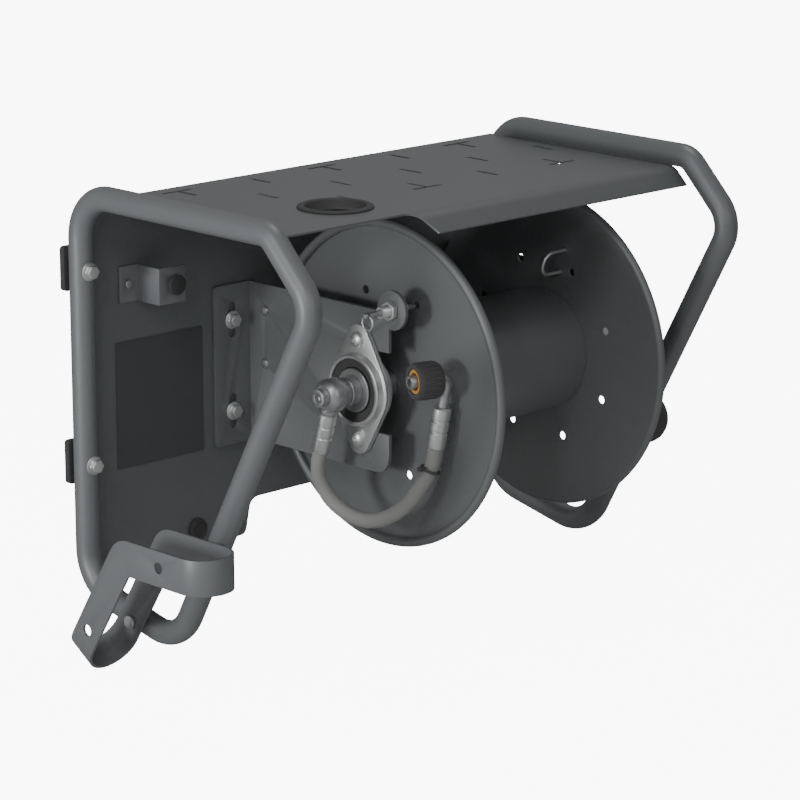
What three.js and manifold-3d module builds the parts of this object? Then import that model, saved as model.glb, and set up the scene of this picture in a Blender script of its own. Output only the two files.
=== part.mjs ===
// Wall-hung pressure-washer bracket with a shelf, a hose reel and a lance holder.
// Millimetres, +X right along the shelf, +Y into the wall, +Z up.
// The origin lies on the wall plane, midway between the two upper wall bolts.
import * as THREE from 'three';
import { mergeVertices } from 'three/addons/utils/BufferGeometryUtils.js';
import Module from 'manifold-3d';

const wasm = await Module();
wasm.setup();

// ---------------------------------------------------------------- driving dimensions
const GAP = 0.3;                 // clearance between touching pieces
const FRAME_SPAN = 591;          // between the centre lines of the two side frames
const TUBE_OD = 25.4;
const TUBE_WALL = 2;
const FRAME_DEPTH = 285;         // back leg to the front of the top run
const NOSE_REACH = 62;           // how far the nose stands in front of the top run
const NOSE_DROP = 63;
const FOOT_REACH = 143;          // back leg to the lowest corner
const FRAME_HEIGHT = 437;        // top run to the lowest corner
const LEG_HEIGHT = 406;          // top run to the lower end of the back leg
const FRAME_BENDS = [45, 25, 35, 48, 48];
const PAD_SIZE = { width: 24, height: 46, thickness: 7 };
const WALL_BOLT_DROP = 78;       // top run to the upper wall bolts
const WALL_BOLT_PITCH = 201;     // upper to lower wall bolts
const BOLT_SHANK = 4;            // radius of the M8 fixings

const SHEET = 2;                 // panel and shelf sheet
const PANEL_SETBACK = 8;         // leg centre line to the middle of the panel sheet
const SHELF_DROP = 11;           // top run centre line to the middle of the shelf sheet
const SHELF_BEND = 9;            // radius of the sheet's back bend, at mid sheet
const PANEL_DROP = 362;          // top run to the panel's lower edge
const TAB_DROP = 401;            // top run to the lower edge of the panel's left tab
const TAB_WIDTH = 210;
const SHELF_DEPTH = 265;         // back leg to the plain front edge of the shelf
const LIP_BEND = 20;
const LIP_LENGTH = 17;
const LIP_START = 98;            // left frame to the shelf's lip begins at -X of centre
const SLOT_LENGTH = 32;
const SLOT_WIDTH = 5;
const SLOT_PITCH = 99.5;
const CUP_HOLE = { x: -127, y: -213, radius: 34 };

const AXIS_Y = -190;             // reel axis
const AXIS_Z = -131;
const REEL_MID_X = 80.4;
const DISC_RADIUS = 172;
const DISC_SHEET = 2;
const DISC_BEAD = 5;             // radius of the rolled rim
const DRUM_RADIUS = 66;
const DRUM_WALL = 2;
const DRUM_LENGTH = 226;
const AXLE_RADIUS = 15;
const LOCK_RADIUS = 98;          // lock holes' circle
const LOCK_ANGLE = 116;          // degrees from +Y towards +Z
const LOCK_COUNT = 8;

const ARM_THICKNESS = 4;
const ARM_GAP = 32;              // disc sheet to the arm plate's inner face
const ARM_TOP = -46;
const ARM_BOTTOM = -216;
const FLANGE_WIDTH = 49;
const FLANGE_THICKNESS = 3;
const ARM_SLOT = { length: 38, width: 9.5 };
const ARM_SLOT_Z = [-84, -182.5];
const EAR_RADIUS = 20.5;
const NOTCH_RADIUS = 43;
const BEARING_PITCH = 104;       // between the two housing bolts
const BEARING_PLATE = 3;
const BEARING_BORE = 33;
const BEARING_BODY = 42;
const COLLAR_RADIUS = 23;

const CRANK_LENGTH = 108;
const CRANK_BAR = { width: 26, thickness: 6 };
const CRANK_CLEARANCE = 7.8;      // right frame tube to the crank bar
const GRIP_RADIUS = 29;
const GRIP_LENGTH = 54;
const CRANK_PIN = 5;

const STRIP = 3;                 // lance holder strip
const HOLDER_GAP = 56;           // between the holder's two arms, middle to middle
const BAND = 34;

const HOSE_DIAMETER = 15.5;

// ---------------------------------------------------------------- derived places
const TUBE_R = TUBE_OD / 2;
const LEG_Y = -(PAD_SIZE.thickness + GAP + TUBE_R);
const TOP_Z = WALL_BOLT_DROP;
const FRAME_X = FRAME_SPAN / 2;
const CRANK_X = FRAME_X + TUBE_R + CRANK_CLEARANCE;
const PANEL_Y = LEG_Y + PANEL_SETBACK;
const PANEL_FRONT = PANEL_Y - SHEET / 2;
const SHELF_Z = TOP_Z - SHELF_DROP;
const DISC_REACH = DRUM_LENGTH / 2 + DISC_SHEET / 2;
const DISC_X = [REEL_MID_X - DISC_REACH, REEL_MID_X + DISC_REACH];
const ARM_INNER = [DISC_X[0] - ARM_GAP, DISC_X[1] + ARM_GAP];
const LOCK_Y = AXIS_Y + LOCK_RADIUS * Math.cos(THREE.MathUtils.degToRad(LOCK_ANGLE));
const LOCK_Z = AXIS_Z + LOCK_RADIUS * Math.sin(THREE.MathUtils.degToRad(LOCK_ANGLE));

// ---------------------------------------------------------------- materials
const paint = (color, roughness = 0.5, metalness = 0.4) => () =>
  new THREE.MeshStandardMaterial({ color, roughness, metalness });
const FRAME_PAINT = paint(0x45484b);
const SHEET_PAINT = paint(0x3a3d3f);
const REEL_PAINT = paint(0x414446);
const ZINC = paint(0xc9cccb, 0.3, 0.9);
const STEEL = paint(0x8d9092, 0.35, 0.9);
const RUBBER = paint(0x141414, 0.85, 0);
const PLASTIC = paint(0x1b1b1c, 0.55, 0);
const HOSE_COVER = paint(0x6c6d6a, 0.8, 0);
const ORANGE = paint(0xd9701c, 0.5, 0.1);

const assembly = new THREE.Group();

/** Adds one named piece to the assembly. */
function piece(name, shape, material, position = [0, 0, 0]) {
  const geometry = shape instanceof THREE.BufferGeometry ? shape : toGeometry(shape);
  const mesh = new THREE.Mesh(geometry, material());
  mesh.name = name;
  mesh.position.set(...position);
  assembly.add(mesh);
  return mesh;
}

// ---------------------------------------------------------------- solids
/** Turns a three.js geometry into a closed solid. */
function solid(source) {
  const bare = source.clone();
  bare.deleteAttribute('normal');
  bare.deleteAttribute('uv');
  const merged = mergeVertices(bare, 1e-4);
  const corners = merged.index.array;
  const kept = [];
  for (let index = 0; index < corners.length; index += 3) {
    const [a, b, c] = corners.slice(index, index + 3);
    if (a !== b && b !== c && c !== a) kept.push(a, b, c);
  }
  const close = () => new wasm.Manifold(new wasm.Mesh({
    numProp: 3,
    vertProperties: new Float32Array(merged.attributes.position.array),
    triVerts: new Uint32Array(kept),
  }));
  const body = close();
  if (body.volume() > 0) return body;
  for (let index = 0; index < kept.length; index += 3) {
    [kept[index], kept[index + 1]] = [kept[index + 1], kept[index]];
  }
  return close();
}

/** Turns a closed solid back into a geometry. */
function toGeometry(body) {
  const mesh = body.getMesh();
  const geometry = new THREE.BufferGeometry();
  geometry.setAttribute('position', new THREE.BufferAttribute(new Float32Array(mesh.vertProperties), 3));
  geometry.setIndex(Array.from(mesh.triVerts));
  return geometry;
}

/** A round bar along X whose left end is at x. */
function barX(radius, x, length, y = 0, z = 0, sides = 16) {
  const geometry = new THREE.CylinderGeometry(radius, radius, length, sides);
  geometry.rotateZ(Math.PI / 2);
  return geometry.translate(x + length / 2, y, z);
}

/** A round bar along Y whose front end is at y. */
function barY(radius, y, length, x = 0, z = 0, sides = 12) {
  const geometry = new THREE.CylinderGeometry(radius, radius, length, sides);
  return geometry.translate(x, y + length / 2, z);
}

/** A lathed body about the X axis; profile points are [radius, x]. */
function turnedX(profile, segments = 20) {
  const points = profile.map(([radius, x]) => new THREE.Vector2(radius, x));
  const geometry = new THREE.LatheGeometry(points, segments);
  return geometry.rotateZ(-Math.PI / 2);
}

/** The same outline as plain points, without the doubled points where arcs meet lines. */
function cleanShape(shape, curveSegments) {
  const points = shape.getPoints(curveSegments);
  const kept = points.filter((point, index) => point.distanceTo(points.at(index - 1)) > 1e-3);
  return new THREE.Shape(kept);
}

/** A flat outline in Y and Z, extruded along X from x. */
function plateX(shape, x, thickness, curveSegments = 8) {
  const outline = cleanShape(shape, curveSegments);
  const geometry = new THREE.ExtrudeGeometry(outline, { depth: thickness, bevelEnabled: false });
  const turn = new THREE.Matrix4().makeBasis(
    new THREE.Vector3(0, 1, 0), new THREE.Vector3(0, 0, 1), new THREE.Vector3(1, 0, 0));
  return geometry.applyMatrix4(turn).translate(x, 0, 0);
}

/** A flat outline in X and Z, extruded towards -Y from y. */
function plateY(shape, y, thickness, curveSegments = 8) {
  const outline = cleanShape(shape, curveSegments);
  const geometry = new THREE.ExtrudeGeometry(outline, { depth: thickness, bevelEnabled: false });
  return geometry.rotateX(Math.PI / 2).translate(0, y, 0);
}

/** A flat outline in X and Y, extruded up along Z from z. */
function plateZ(shape, z, thickness, curveSegments = 8) {
  const outline = cleanShape(shape, curveSegments);
  const geometry = new THREE.ExtrudeGeometry(outline, { depth: thickness, bevelEnabled: false });
  return geometry.translate(0, 0, z);
}

/** A closed outline through corners [[a, b, radius], ...], each rounded by its own arc. */
function roundedShape(corners) {
  const shape = new THREE.Shape();
  corners.forEach(([a, b, radius], index) => {
    const here = new THREE.Vector2(a, b);
    const before = new THREE.Vector2(...corners.at(index - 1));
    const after = new THREE.Vector2(...corners[(index + 1) % corners.length]);
    const inward = before.sub(here).normalize();
    const outward = after.sub(here).normalize();
    const reach = radius / Math.tan(inward.angleTo(outward) / 2);
    const start = here.clone().addScaledVector(inward, reach);
    const end = here.clone().addScaledVector(outward, reach);
    if (index === 0) shape.moveTo(start.x, start.y);
    else shape.lineTo(start.x, start.y);
    if (radius > 0) shape.quadraticCurveTo(here.x, here.y, end.x, end.y);
  });
  shape.closePath();
  return shape;
}

/** A slot outline centred on (a, b) with its length along the first or second axis. */
function slotShape(a, b, length, width, alongSecond = false) {
  const half = (length - width) / 2;
  const r = width / 2;
  const shape = new THREE.Shape();
  if (alongSecond) {
    shape.absarc(a, b + half, r, 0, Math.PI, false);
    shape.absarc(a, b - half, r, Math.PI, 2 * Math.PI, false);
  } else {
    shape.absarc(a - half, b, r, Math.PI / 2, 1.5 * Math.PI, false);
    shape.absarc(a + half, b, r, -Math.PI / 2, Math.PI / 2, false);
  }
  shape.closePath();
  return shape;
}

/** A bent centre line: straight runs joined by arcs, with stations only where they are needed. */
class BentPath extends THREE.Curve {
  constructor(corners, radii, closed, perBend = 4) {
    super();
    this.stations = [];
    const count = corners.length;
    corners.forEach((corner, index) => {
      const ends = !closed && (index === 0 || index === count - 1);
      if (ends) {
        this.stations.push(corner.clone());
        return;
      }
      const inward = corners[(index - 1 + count) % count].clone().sub(corner).normalize();
      const outward = corners[(index + 1) % count].clone().sub(corner).normalize();
      const half = inward.angleTo(outward) / 2;
      const radius = radii[index];
      const towards = inward.clone().add(outward).normalize();
      const centre = towards.multiplyScalar(radius / Math.sin(half)).add(corner);
      const start = corner.clone().addScaledVector(inward, radius / Math.tan(half)).sub(centre);
      const normal = outward.clone().cross(inward).normalize();
      const sweep = Math.PI - 2 * half;
      for (let step = 0; step <= perBend; step += 1) {
        this.stations.push(start.clone().applyAxisAngle(normal, sweep * step / perBend).add(centre));
      }
    });
    this.closed = closed;
    if (closed) this.stations.push(this.stations[0].clone());
    this.segments = this.stations.length - 1;
  }
  getPointAt(u, target = new THREE.Vector3()) {
    return target.copy(this.stations[Math.round(u * this.segments)]);
  }
  getPoint(u, target) {
    return this.getPointAt(u, target);
  }
  getTangentAt(u, target = new THREE.Vector3()) {
    const index = Math.round(u * this.segments);
    const last = this.segments;
    const before = index === 0 ? (this.closed ? last - 1 : 0) : index - 1;
    const after = index === last ? (this.closed ? 1 : last) : index + 1;
    const back = this.stations[index].clone().sub(this.stations[before]).normalize();
    const ahead = this.stations[after].clone().sub(this.stations[index]).normalize();
    return target.copy(back.add(ahead)).normalize();
  }
  getTangent(u, target) {
    return this.getTangentAt(u, target);
  }
}

/** Hex flange bolt whose head faces -Y; y is the face that the flange seats on. */
function flangeBoltY(x, y, z, shank, length) {
  const flange = barY(shank * 2.5, y - GAP - 1.5, 1.5, x, z, 12);
  const head = barY(shank * 1.85, y - GAP - 1.5 - shank * 1.6, shank * 1.7, x, z, 6);
  const rod = barY(shank, y - GAP - 0.1, length, x, z, 8);
  return solid(flange).add(solid(head)).add(solid(rod));
}

// ---------------------------------------------------------------- side frames
/** The bent loop's centre line at a given X. */
function framePath(x) {
  const corners = [
    [LEG_Y, TOP_Z],
    [LEG_Y - FRAME_DEPTH, TOP_Z],
    [LEG_Y - FRAME_DEPTH - NOSE_REACH, TOP_Z - NOSE_DROP],
    [LEG_Y - FOOT_REACH, TOP_Z - FRAME_HEIGHT],
    [LEG_Y, TOP_Z - LEG_HEIGHT],
  ].map(([y, z]) => new THREE.Vector3(x, y, z));
  return new BentPath(corners, FRAME_BENDS, true);
}

/** A closed ring of tube along the frame's centre line. */
function frameRing(x, radius, sides = 10) {
  const path = framePath(x);
  return solid(new THREE.TubeGeometry(path, path.segments, radius, sides, true));
}

/** Holder bolt's place on the frame's foot run. */
function footRunZ(y) {
  const share = (LEG_Y - y) / FOOT_REACH;
  return TOP_Z - LEG_HEIGHT - share * (FRAME_HEIGHT - LEG_HEIGHT);
}
const HOLDER_BOLT_Y = LEG_Y - 86;
const HOLDER_BOLT_Z = footRunZ(HOLDER_BOLT_Y);

const wallBoltZ = [0, -WALL_BOLT_PITCH];
const SIDES = [['left', -1], ['right', 1]];

function buildFrames() {
  for (const [side, sign] of SIDES) {
    const x = sign * FRAME_X;
    let frame = frameRing(x, TUBE_R).subtract(frameRing(x, TUBE_R - TUBE_WALL, 8));
    for (const z of wallBoltZ) {
      frame = frame.subtract(solid(barY(BOLT_SHANK + GAP, LEG_Y - TUBE_OD, 2 * TUBE_OD, x, z, 12)));
    }
    if (side === 'left') {
      const hole = barX(BOLT_SHANK * 0.75 + GAP, x - TUBE_OD, TUBE_OD, HOLDER_BOLT_Y, HOLDER_BOLT_Z, 12);
      frame = frame.subtract(solid(hole));
    }
    piece(`side_frame_${side}`, frame, FRAME_PAINT);
  }
}

function buildWallFixings() {
  for (const [side, sign] of SIDES) {
    wallBoltZ.forEach((z, row) => {
      const level = row === 0 ? 'upper' : 'lower';
      const x = sign * FRAME_X;
      const outline = roundedShape([
        [-PAD_SIZE.width / 2, -PAD_SIZE.height / 2, 4],
        [PAD_SIZE.width / 2, -PAD_SIZE.height / 2, 4],
        [PAD_SIZE.width / 2, PAD_SIZE.height / 2, 4],
        [-PAD_SIZE.width / 2, PAD_SIZE.height / 2, 4],
      ]);
      const pad = solid(plateY(outline, 0, PAD_SIZE.thickness, 4))
        .subtract(solid(barY(BOLT_SHANK + GAP, -2 * PAD_SIZE.thickness, 3 * PAD_SIZE.thickness)));
      piece(`wall_pad_${level}_${side}`, pad, RUBBER, [x, 0, z]);
      const bolt = flangeBoltY(0, 0, 0, BOLT_SHANK, TUBE_OD + PAD_SIZE.thickness - GAP);
      piece(`wall_bolt_${level}_${side}`, bolt, ZINC, [x, LEG_Y - TUBE_R, z]);
    });
  }
}

// ---------------------------------------------------------------- panel and shelf
/** The sheet's side profile in Y and Z, from the tab's foot over the back bend to the lip. */
function sheetProfile() {
  const half = SHEET / 2;
  const lipTurn = Math.PI / 4;
  const foot = TOP_Z - TAB_DROP;
  const shape = new THREE.Shape();
  const bendY = PANEL_Y - SHELF_BEND;
  const bendZ = SHELF_Z - SHELF_BEND;
  const lipY = LEG_Y - SHELF_DEPTH;
  const lipZ = SHELF_Z - LIP_BEND;
  const run = (offset) => {
    const r = LIP_BEND + offset;
    const y = lipY - r * Math.sin(lipTurn);
    const z = lipZ + r * Math.cos(lipTurn);
    return [y - LIP_LENGTH * Math.cos(lipTurn), z - LIP_LENGTH * Math.sin(lipTurn)];
  };
  shape.moveTo(PANEL_Y + half, foot);
  shape.lineTo(PANEL_Y + half, bendZ);
  shape.absarc(bendY, bendZ, SHELF_BEND + half, 0, Math.PI / 2, false);
  shape.lineTo(lipY, SHELF_Z + half);
  shape.absarc(lipY, lipZ, LIP_BEND + half, Math.PI / 2, Math.PI / 2 + lipTurn, false);
  shape.lineTo(...run(half));
  shape.lineTo(...run(-half));
  shape.absarc(lipY, lipZ, LIP_BEND - half, Math.PI / 2 + lipTurn, Math.PI / 2, true);
  shape.lineTo(bendY, SHELF_Z - half);
  shape.absarc(bendY, bendZ, SHELF_BEND - half, Math.PI / 2, 0, true);
  shape.lineTo(PANEL_Y - half, foot);
  shape.closePath();
  return shape;
}

/** Everything below the panel's lower edge, to the right of the tab. */
function apronCut(sheetHalf) {
  const right = sheetHalf + 10;
  const tabEdge = -sheetHalf + TAB_WIDTH;
  const edge = TOP_Z - PANEL_DROP;
  const foot = TOP_Z - TAB_DROP;
  return roundedShape([
    [tabEdge + 8, edge, 14],
    [right, edge, 0],
    [right, foot - 20, 0],
    [tabEdge - 25, foot - 20, 0],
    [tabEdge - 25, foot, 0],
    [tabEdge, foot, 10],
  ]);
}

/** The rounded lower-left corner that is cut from the tab. */
function cornerCut(sheetHalf) {
  const foot = TOP_Z - TAB_DROP;
  const radius = 34;
  const shape = new THREE.Shape();
  shape.moveTo(-sheetHalf - 10, foot - 10);
  shape.lineTo(-sheetHalf - 10, foot + radius);
  shape.lineTo(-sheetHalf, foot + radius);
  shape.absarc(-sheetHalf + radius, foot + radius, radius, Math.PI, 1.5 * Math.PI, false);
  shape.lineTo(-sheetHalf + radius, foot - 10);
  shape.closePath();
  return shape;
}

/** Front-left region that is cut back to the plain edge, with the lip's slanted end. */
function lipCut(sheetHalf) {
  const edge = LEG_Y - SHELF_DEPTH;
  return roundedShape([
    [-sheetHalf - 10, edge, 0],
    [-sheetHalf - 10, edge - 60, 0],
    [-LIP_START + 30, edge - 60, 0],
    [-LIP_START + 18, edge - 24, 0],
    [-LIP_START, edge, 10],
  ]);
}

/** Strap slots: the back and front rows hold T slots and plain slots in turn. */
function slotCuts() {
  const cuts = [];
  const back = LEG_Y - 34;
  const middle = LEG_Y - 102;
  const front = LEG_Y - 166;
  const bar = SLOT_LENGTH * 1.25;
  for (let index = 0; index < 5; index += 1) {
    const x = -185.5 + index * SLOT_PITCH;
    cuts.push(slotShape(x, back, SLOT_LENGTH, SLOT_WIDTH, true));
    if (index % 2 === 0) {
      cuts.push(slotShape(x, back + (SLOT_LENGTH - SLOT_WIDTH) / 2, bar, SLOT_WIDTH));
    }
    cuts.push(slotShape(x + SLOT_PITCH / 2, middle, SLOT_LENGTH, SLOT_WIDTH, true));
  }
  for (let index = 1; index < 5; index += 1) {
    const x = -185.5 + index * SLOT_PITCH;
    cuts.push(slotShape(x, front, SLOT_LENGTH, SLOT_WIDTH, true));
    if (index % 2 === 0) {
      cuts.push(slotShape(x, front - (SLOT_LENGTH - SLOT_WIDTH) / 2, bar, SLOT_WIDTH));
    }
  }
  return cuts;
}

function buildSheet() {
  const sheetHalf = FRAME_X - Math.sqrt(TUBE_R ** 2 - PANEL_SETBACK ** 2);
  let sheet = solid(plateX(sheetProfile(), -sheetHalf, 2 * sheetHalf, 5));
  for (const [, sign] of SIDES) sheet = sheet.subtract(frameRing(sign * FRAME_X, TUBE_R + 2 * GAP));
  for (const cut of [apronCut(sheetHalf), cornerCut(sheetHalf)]) {
    sheet = sheet.subtract(solid(plateY(cut, PANEL_Y + 10, 20)));
  }
  sheet = sheet.subtract(solid(plateZ(lipCut(sheetHalf), SHELF_Z - 60, 80)));
  for (const cut of slotCuts()) sheet = sheet.subtract(solid(plateZ(cut, SHELF_Z - 10, 20, 3)));
  const cup = new THREE.Shape().absarc(CUP_HOLE.x, CUP_HOLE.y, CUP_HOLE.radius, 0, 2 * Math.PI);
  sheet = sheet.subtract(solid(plateZ(cup, SHELF_Z - 10, 20, 14)));
  for (const z of ARM_SLOT_Z) {
    for (const [index, sign] of [[0, -1], [1, 1]]) {
      const x = ARM_INNER[index] + sign * (ARM_THICKNESS + FLANGE_WIDTH / 2);
      sheet = sheet.subtract(solid(barY(BOLT_SHANK + GAP, PANEL_Y - 10, 20, x, z)));
    }
  }
  const biggest = sheet.decompose().sort((a, b) => b.volume() - a.volume())[0];
  piece('panel_and_shelf', biggest, SHEET_PAINT);
}

/** Rolled ring that lines the round hole in the shelf. */
function buildCupRing() {
  const outer = CUP_HOLE.radius - GAP;
  const top = SHEET / 2 + GAP;
  const points = [
    [outer - 3, -7], [outer, -7], [outer, top], [outer + 5, top],
    [outer + 4.5, top + 2], [outer - 1, top + 2.6], [outer - 3, top + 1.2], [outer - 3, -7],
  ].map(([r, z]) => new THREE.Vector2(r, z));
  const ring = new THREE.LatheGeometry(points, 32).rotateX(Math.PI / 2);
  piece('shelf_hole_ring', ring, PLASTIC, [CUP_HOLE.x, CUP_HOLE.y, SHELF_Z]);
}

// ---------------------------------------------------------------- things on the panel
function buildPanelFittings() {
  const label = roundedShape([[-58, -67, 2], [58, -67, 2], [58, 67, 2], [-58, 67, 2]]);
  piece('info_label', plateY(label, PANEL_FRONT - GAP, 0.5, 3), PLASTIC, [-191, 0, -151.5]);

  const clip = { base: 22, reach: 38, face: 35, width: 38, x: -221, z: -25 };
  const path = new THREE.Shape();
  path.moveTo(clip.x - clip.base, PANEL_FRONT - GAP);
  path.lineTo(clip.x + SHEET, PANEL_FRONT - GAP);
  path.lineTo(clip.x + SHEET, PANEL_FRONT - clip.reach + SHEET);
  path.lineTo(clip.x + clip.face, PANEL_FRONT - clip.reach + SHEET);
  path.lineTo(clip.x + clip.face, PANEL_FRONT - clip.reach);
  path.lineTo(clip.x, PANEL_FRONT - clip.reach);
  path.lineTo(clip.x, PANEL_FRONT - GAP - SHEET);
  path.lineTo(clip.x - clip.base, PANEL_FRONT - GAP - SHEET);
  path.closePath();
  const plugX = clip.x + clip.face - 13;
  const rivetX = clip.x - clip.base / 2;
  const bracket = solid(plateZ(path, clip.z - clip.width / 2, clip.width))
    .subtract(solid(barY(8 + GAP, PANEL_FRONT - clip.reach - 5, 10, plugX, clip.z)))
    .subtract(solid(barY(2.5 + GAP, PANEL_FRONT - 10, 20, rivetX, clip.z, 10)));
  piece('clip_bracket', bracket, FRAME_PAINT);
  const face = PANEL_FRONT - clip.reach;
  piece('clip_plug', solid(barY(8, face - 2, 4.5, plugX, clip.z)).add(
    solid(barY(10.5, face - GAP - 4, 4, plugX, clip.z))), RUBBER);
  piece('clip_rivet', barY(4.5, PANEL_FRONT - GAP - SHEET - GAP - 2, 2, rivetX, clip.z, 12), STEEL);
  piece('panel_plug', barY(12, PANEL_FRONT - GAP - 5, 5, -144, -303), RUBBER);
}

// ---------------------------------------------------------------- reel arms
/** An arm plate in Y and Z: an ear above, a notch for the bearing, a rounded foot. */
function armPlate(low) {
  const back = PANEL_FRONT - GAP - FLANGE_THICKNESS;
  const front = LOCK_Y + 4;
  const outline = roundedShape([
    [back, ARM_BOTTOM, 0], [back, ARM_TOP, 0], [front, ARM_TOP, 0], [front, ARM_BOTTOM, 22],
  ]);
  const reach = 100;
  const notch = slotShape(AXIS_Y - reach / 2, AXIS_Z, reach + 2 * NOTCH_RADIUS, 2 * NOTCH_RADIUS);
  return solid(plateX(outline, low, ARM_THICKNESS, 7))
    .add(solid(barX(EAR_RADIUS, low, ARM_THICKNESS, LOCK_Y, LOCK_Z, 28)))
    .subtract(solid(plateX(notch, low - 5, ARM_THICKNESS + 10, 8)));
}

function buildArms() {
  for (const [index, [side, sign]] of SIDES.entries()) {
    const inner = ARM_INNER[index];
    const outer = inner + sign * ARM_THICKNESS;
    const low = Math.min(inner, outer);
    const flangeEnd = outer + sign * FLANGE_WIDTH;
    const flangeLow = Math.min(inner, flangeEnd);
    const flangeHigh = Math.max(inner, flangeEnd);
    const flange = roundedShape([
      [flangeLow, ARM_BOTTOM - 3, 4], [flangeHigh, ARM_BOTTOM - 3, 4],
      [flangeHigh, ARM_TOP, 4], [flangeLow, ARM_TOP, 4],
    ]);
    let arm = solid(plateY(flange, PANEL_FRONT - GAP, FLANGE_THICKNESS + 0.5, 3));
    arm = arm.add(armPlate(low));
    const slotX = outer + sign * FLANGE_WIDTH / 2;
    for (const z of ARM_SLOT_Z) {
      const slot = slotShape(slotX, z, ARM_SLOT.length, ARM_SLOT.width, true);
      arm = arm.subtract(solid(plateY(slot, PANEL_FRONT + 5, 15, 5)));
      const level = z === ARM_SLOT_Z[0] ? 'upper' : 'lower';
      const seat = PANEL_FRONT - GAP - FLANGE_THICKNESS - 0.5;
      piece(`arm_bolt_${level}_${side}`, flangeBoltY(slotX, seat, z, BOLT_SHANK, 14), ZINC);
    }
    for (const lift of [-1, 1]) {
      const hole = barX(BOLT_SHANK + GAP, low - 5, 15, AXIS_Y, AXIS_Z + lift * BEARING_PITCH / 2, 12);
      arm = arm.subtract(solid(hole));
    }
    if (side === 'left') {
      arm = arm.subtract(solid(barX(6 + GAP, low - 5, 15, LOCK_Y, LOCK_Z, 16)));
      for (const z of [-74, -131]) {
        arm = arm.subtract(solid(barX(3 + GAP, low - 5, 15, PANEL_FRONT - 28, z, 10)));
        const head = solid(barX(5.5, outer - GAP - 3, 3, PANEL_FRONT - 28, z, 14));
        const screw = head.add(solid(barX(3, outer - GAP - 1, 8, PANEL_FRONT - 28, z, 10)));
        piece(`arm_screw_${z === -74 ? 'upper' : 'lower'}`, screw, STEEL);
      }
    }
    piece(`reel_arm_${side}`, arm, REEL_PAINT);
    buildBearing(side, sign, outer);
  }
}

/** A pressed two-bolt flange plate with a raised ring, seen along X. */
function bearingPlate(near, bulge) {
  const shape = new THREE.Shape();
  const end = BEARING_PITCH / 2;
  const nose = 16;
  const lean = Math.acos((BEARING_BODY - nose) / end);
  shape.absarc(0, 0, BEARING_BODY, -(Math.PI / 2 - lean), Math.PI / 2 - lean, false);
  shape.absarc(0, end, nose, Math.PI / 2 - lean, Math.PI / 2 + lean, false);
  shape.absarc(0, 0, BEARING_BODY, Math.PI / 2 + lean, 1.5 * Math.PI - lean, false);
  shape.absarc(0, -end, nose, 1.5 * Math.PI - lean, 1.5 * Math.PI + lean, false);
  shape.closePath();
  const plate = solid(plateX(shape, near, BEARING_PLATE, 4));
  const base = bulge < 0 ? near + BEARING_PLATE : near;
  const ring = turnedX([
    [0, base], [BEARING_BODY - 5, base], [BEARING_BODY - 5, base + bulge * 3],
    [BEARING_BORE + 3, base + bulge * 11], [0, base + bulge * 11], [0, base],
  ]);
  const bore = barX(BEARING_BORE, base - 30, 60, 0, 0, 20);
  let body = plate.add(solid(ring)).subtract(solid(bore));
  for (const lift of [-1, 1]) {
    body = body.subtract(solid(barX(BOLT_SHANK + GAP, base - 30, 60, 0, lift * end, 12)));
  }
  return body;
}

function buildBearing(side, sign, face) {
  const at = [0, AXIS_Y, AXIS_Z];
  const innerLow = Math.min(face + sign * GAP, face + sign * (GAP + BEARING_PLATE));
  const outerLow = innerLow + sign * (BEARING_PLATE + GAP);
  piece(`bearing_plate_inner_${side}`, bearingPlate(innerLow, -sign), ZINC, at);
  piece(`bearing_plate_outer_${side}`, bearingPlate(outerLow, sign), ZINC, at);
  const middle = face + sign * (GAP + BEARING_PLATE);
  const seal = [
    [COLLAR_RADIUS + 1, middle - 8], [BEARING_BORE - GAP, middle - 8],
    [BEARING_BORE - GAP, middle + 8], [COLLAR_RADIUS + 1, middle + 8], [COLLAR_RADIUS + 1, middle - 8],
  ];
  piece(`bearing_seal_${side}`, turnedX(seal), RUBBER, at);
  const collar = [
    [AXLE_RADIUS + GAP, middle - 11], [COLLAR_RADIUS, middle - 11],
    [COLLAR_RADIUS, middle + 11], [AXLE_RADIUS + GAP, middle + 11], [AXLE_RADIUS + GAP, middle - 11],
  ];
  piece(`bearing_collar_${side}`, turnedX(collar), STEEL, at);
  for (const lift of [-1, 1]) {
    const z = AXIS_Z + lift * BEARING_PITCH / 2;
    const outside = face + sign * (2 * BEARING_PLATE + 2 * GAP);
    const head = barX(8.5, sign > 0 ? outside + GAP : outside - GAP - 5.5, 5.5, AXIS_Y, z, 14);
    const length = 2 * BEARING_PLATE + ARM_THICKNESS + 9;
    const rod = barX(BOLT_SHANK, sign > 0 ? outside + 1 - length : outside - 1, length, AXIS_Y, z, 12);
    const bolt = solid(head).add(solid(rod));
    piece(`bearing_bolt_${lift > 0 ? 'upper' : 'lower'}_${side}`, bolt, ZINC);
  }
}

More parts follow.
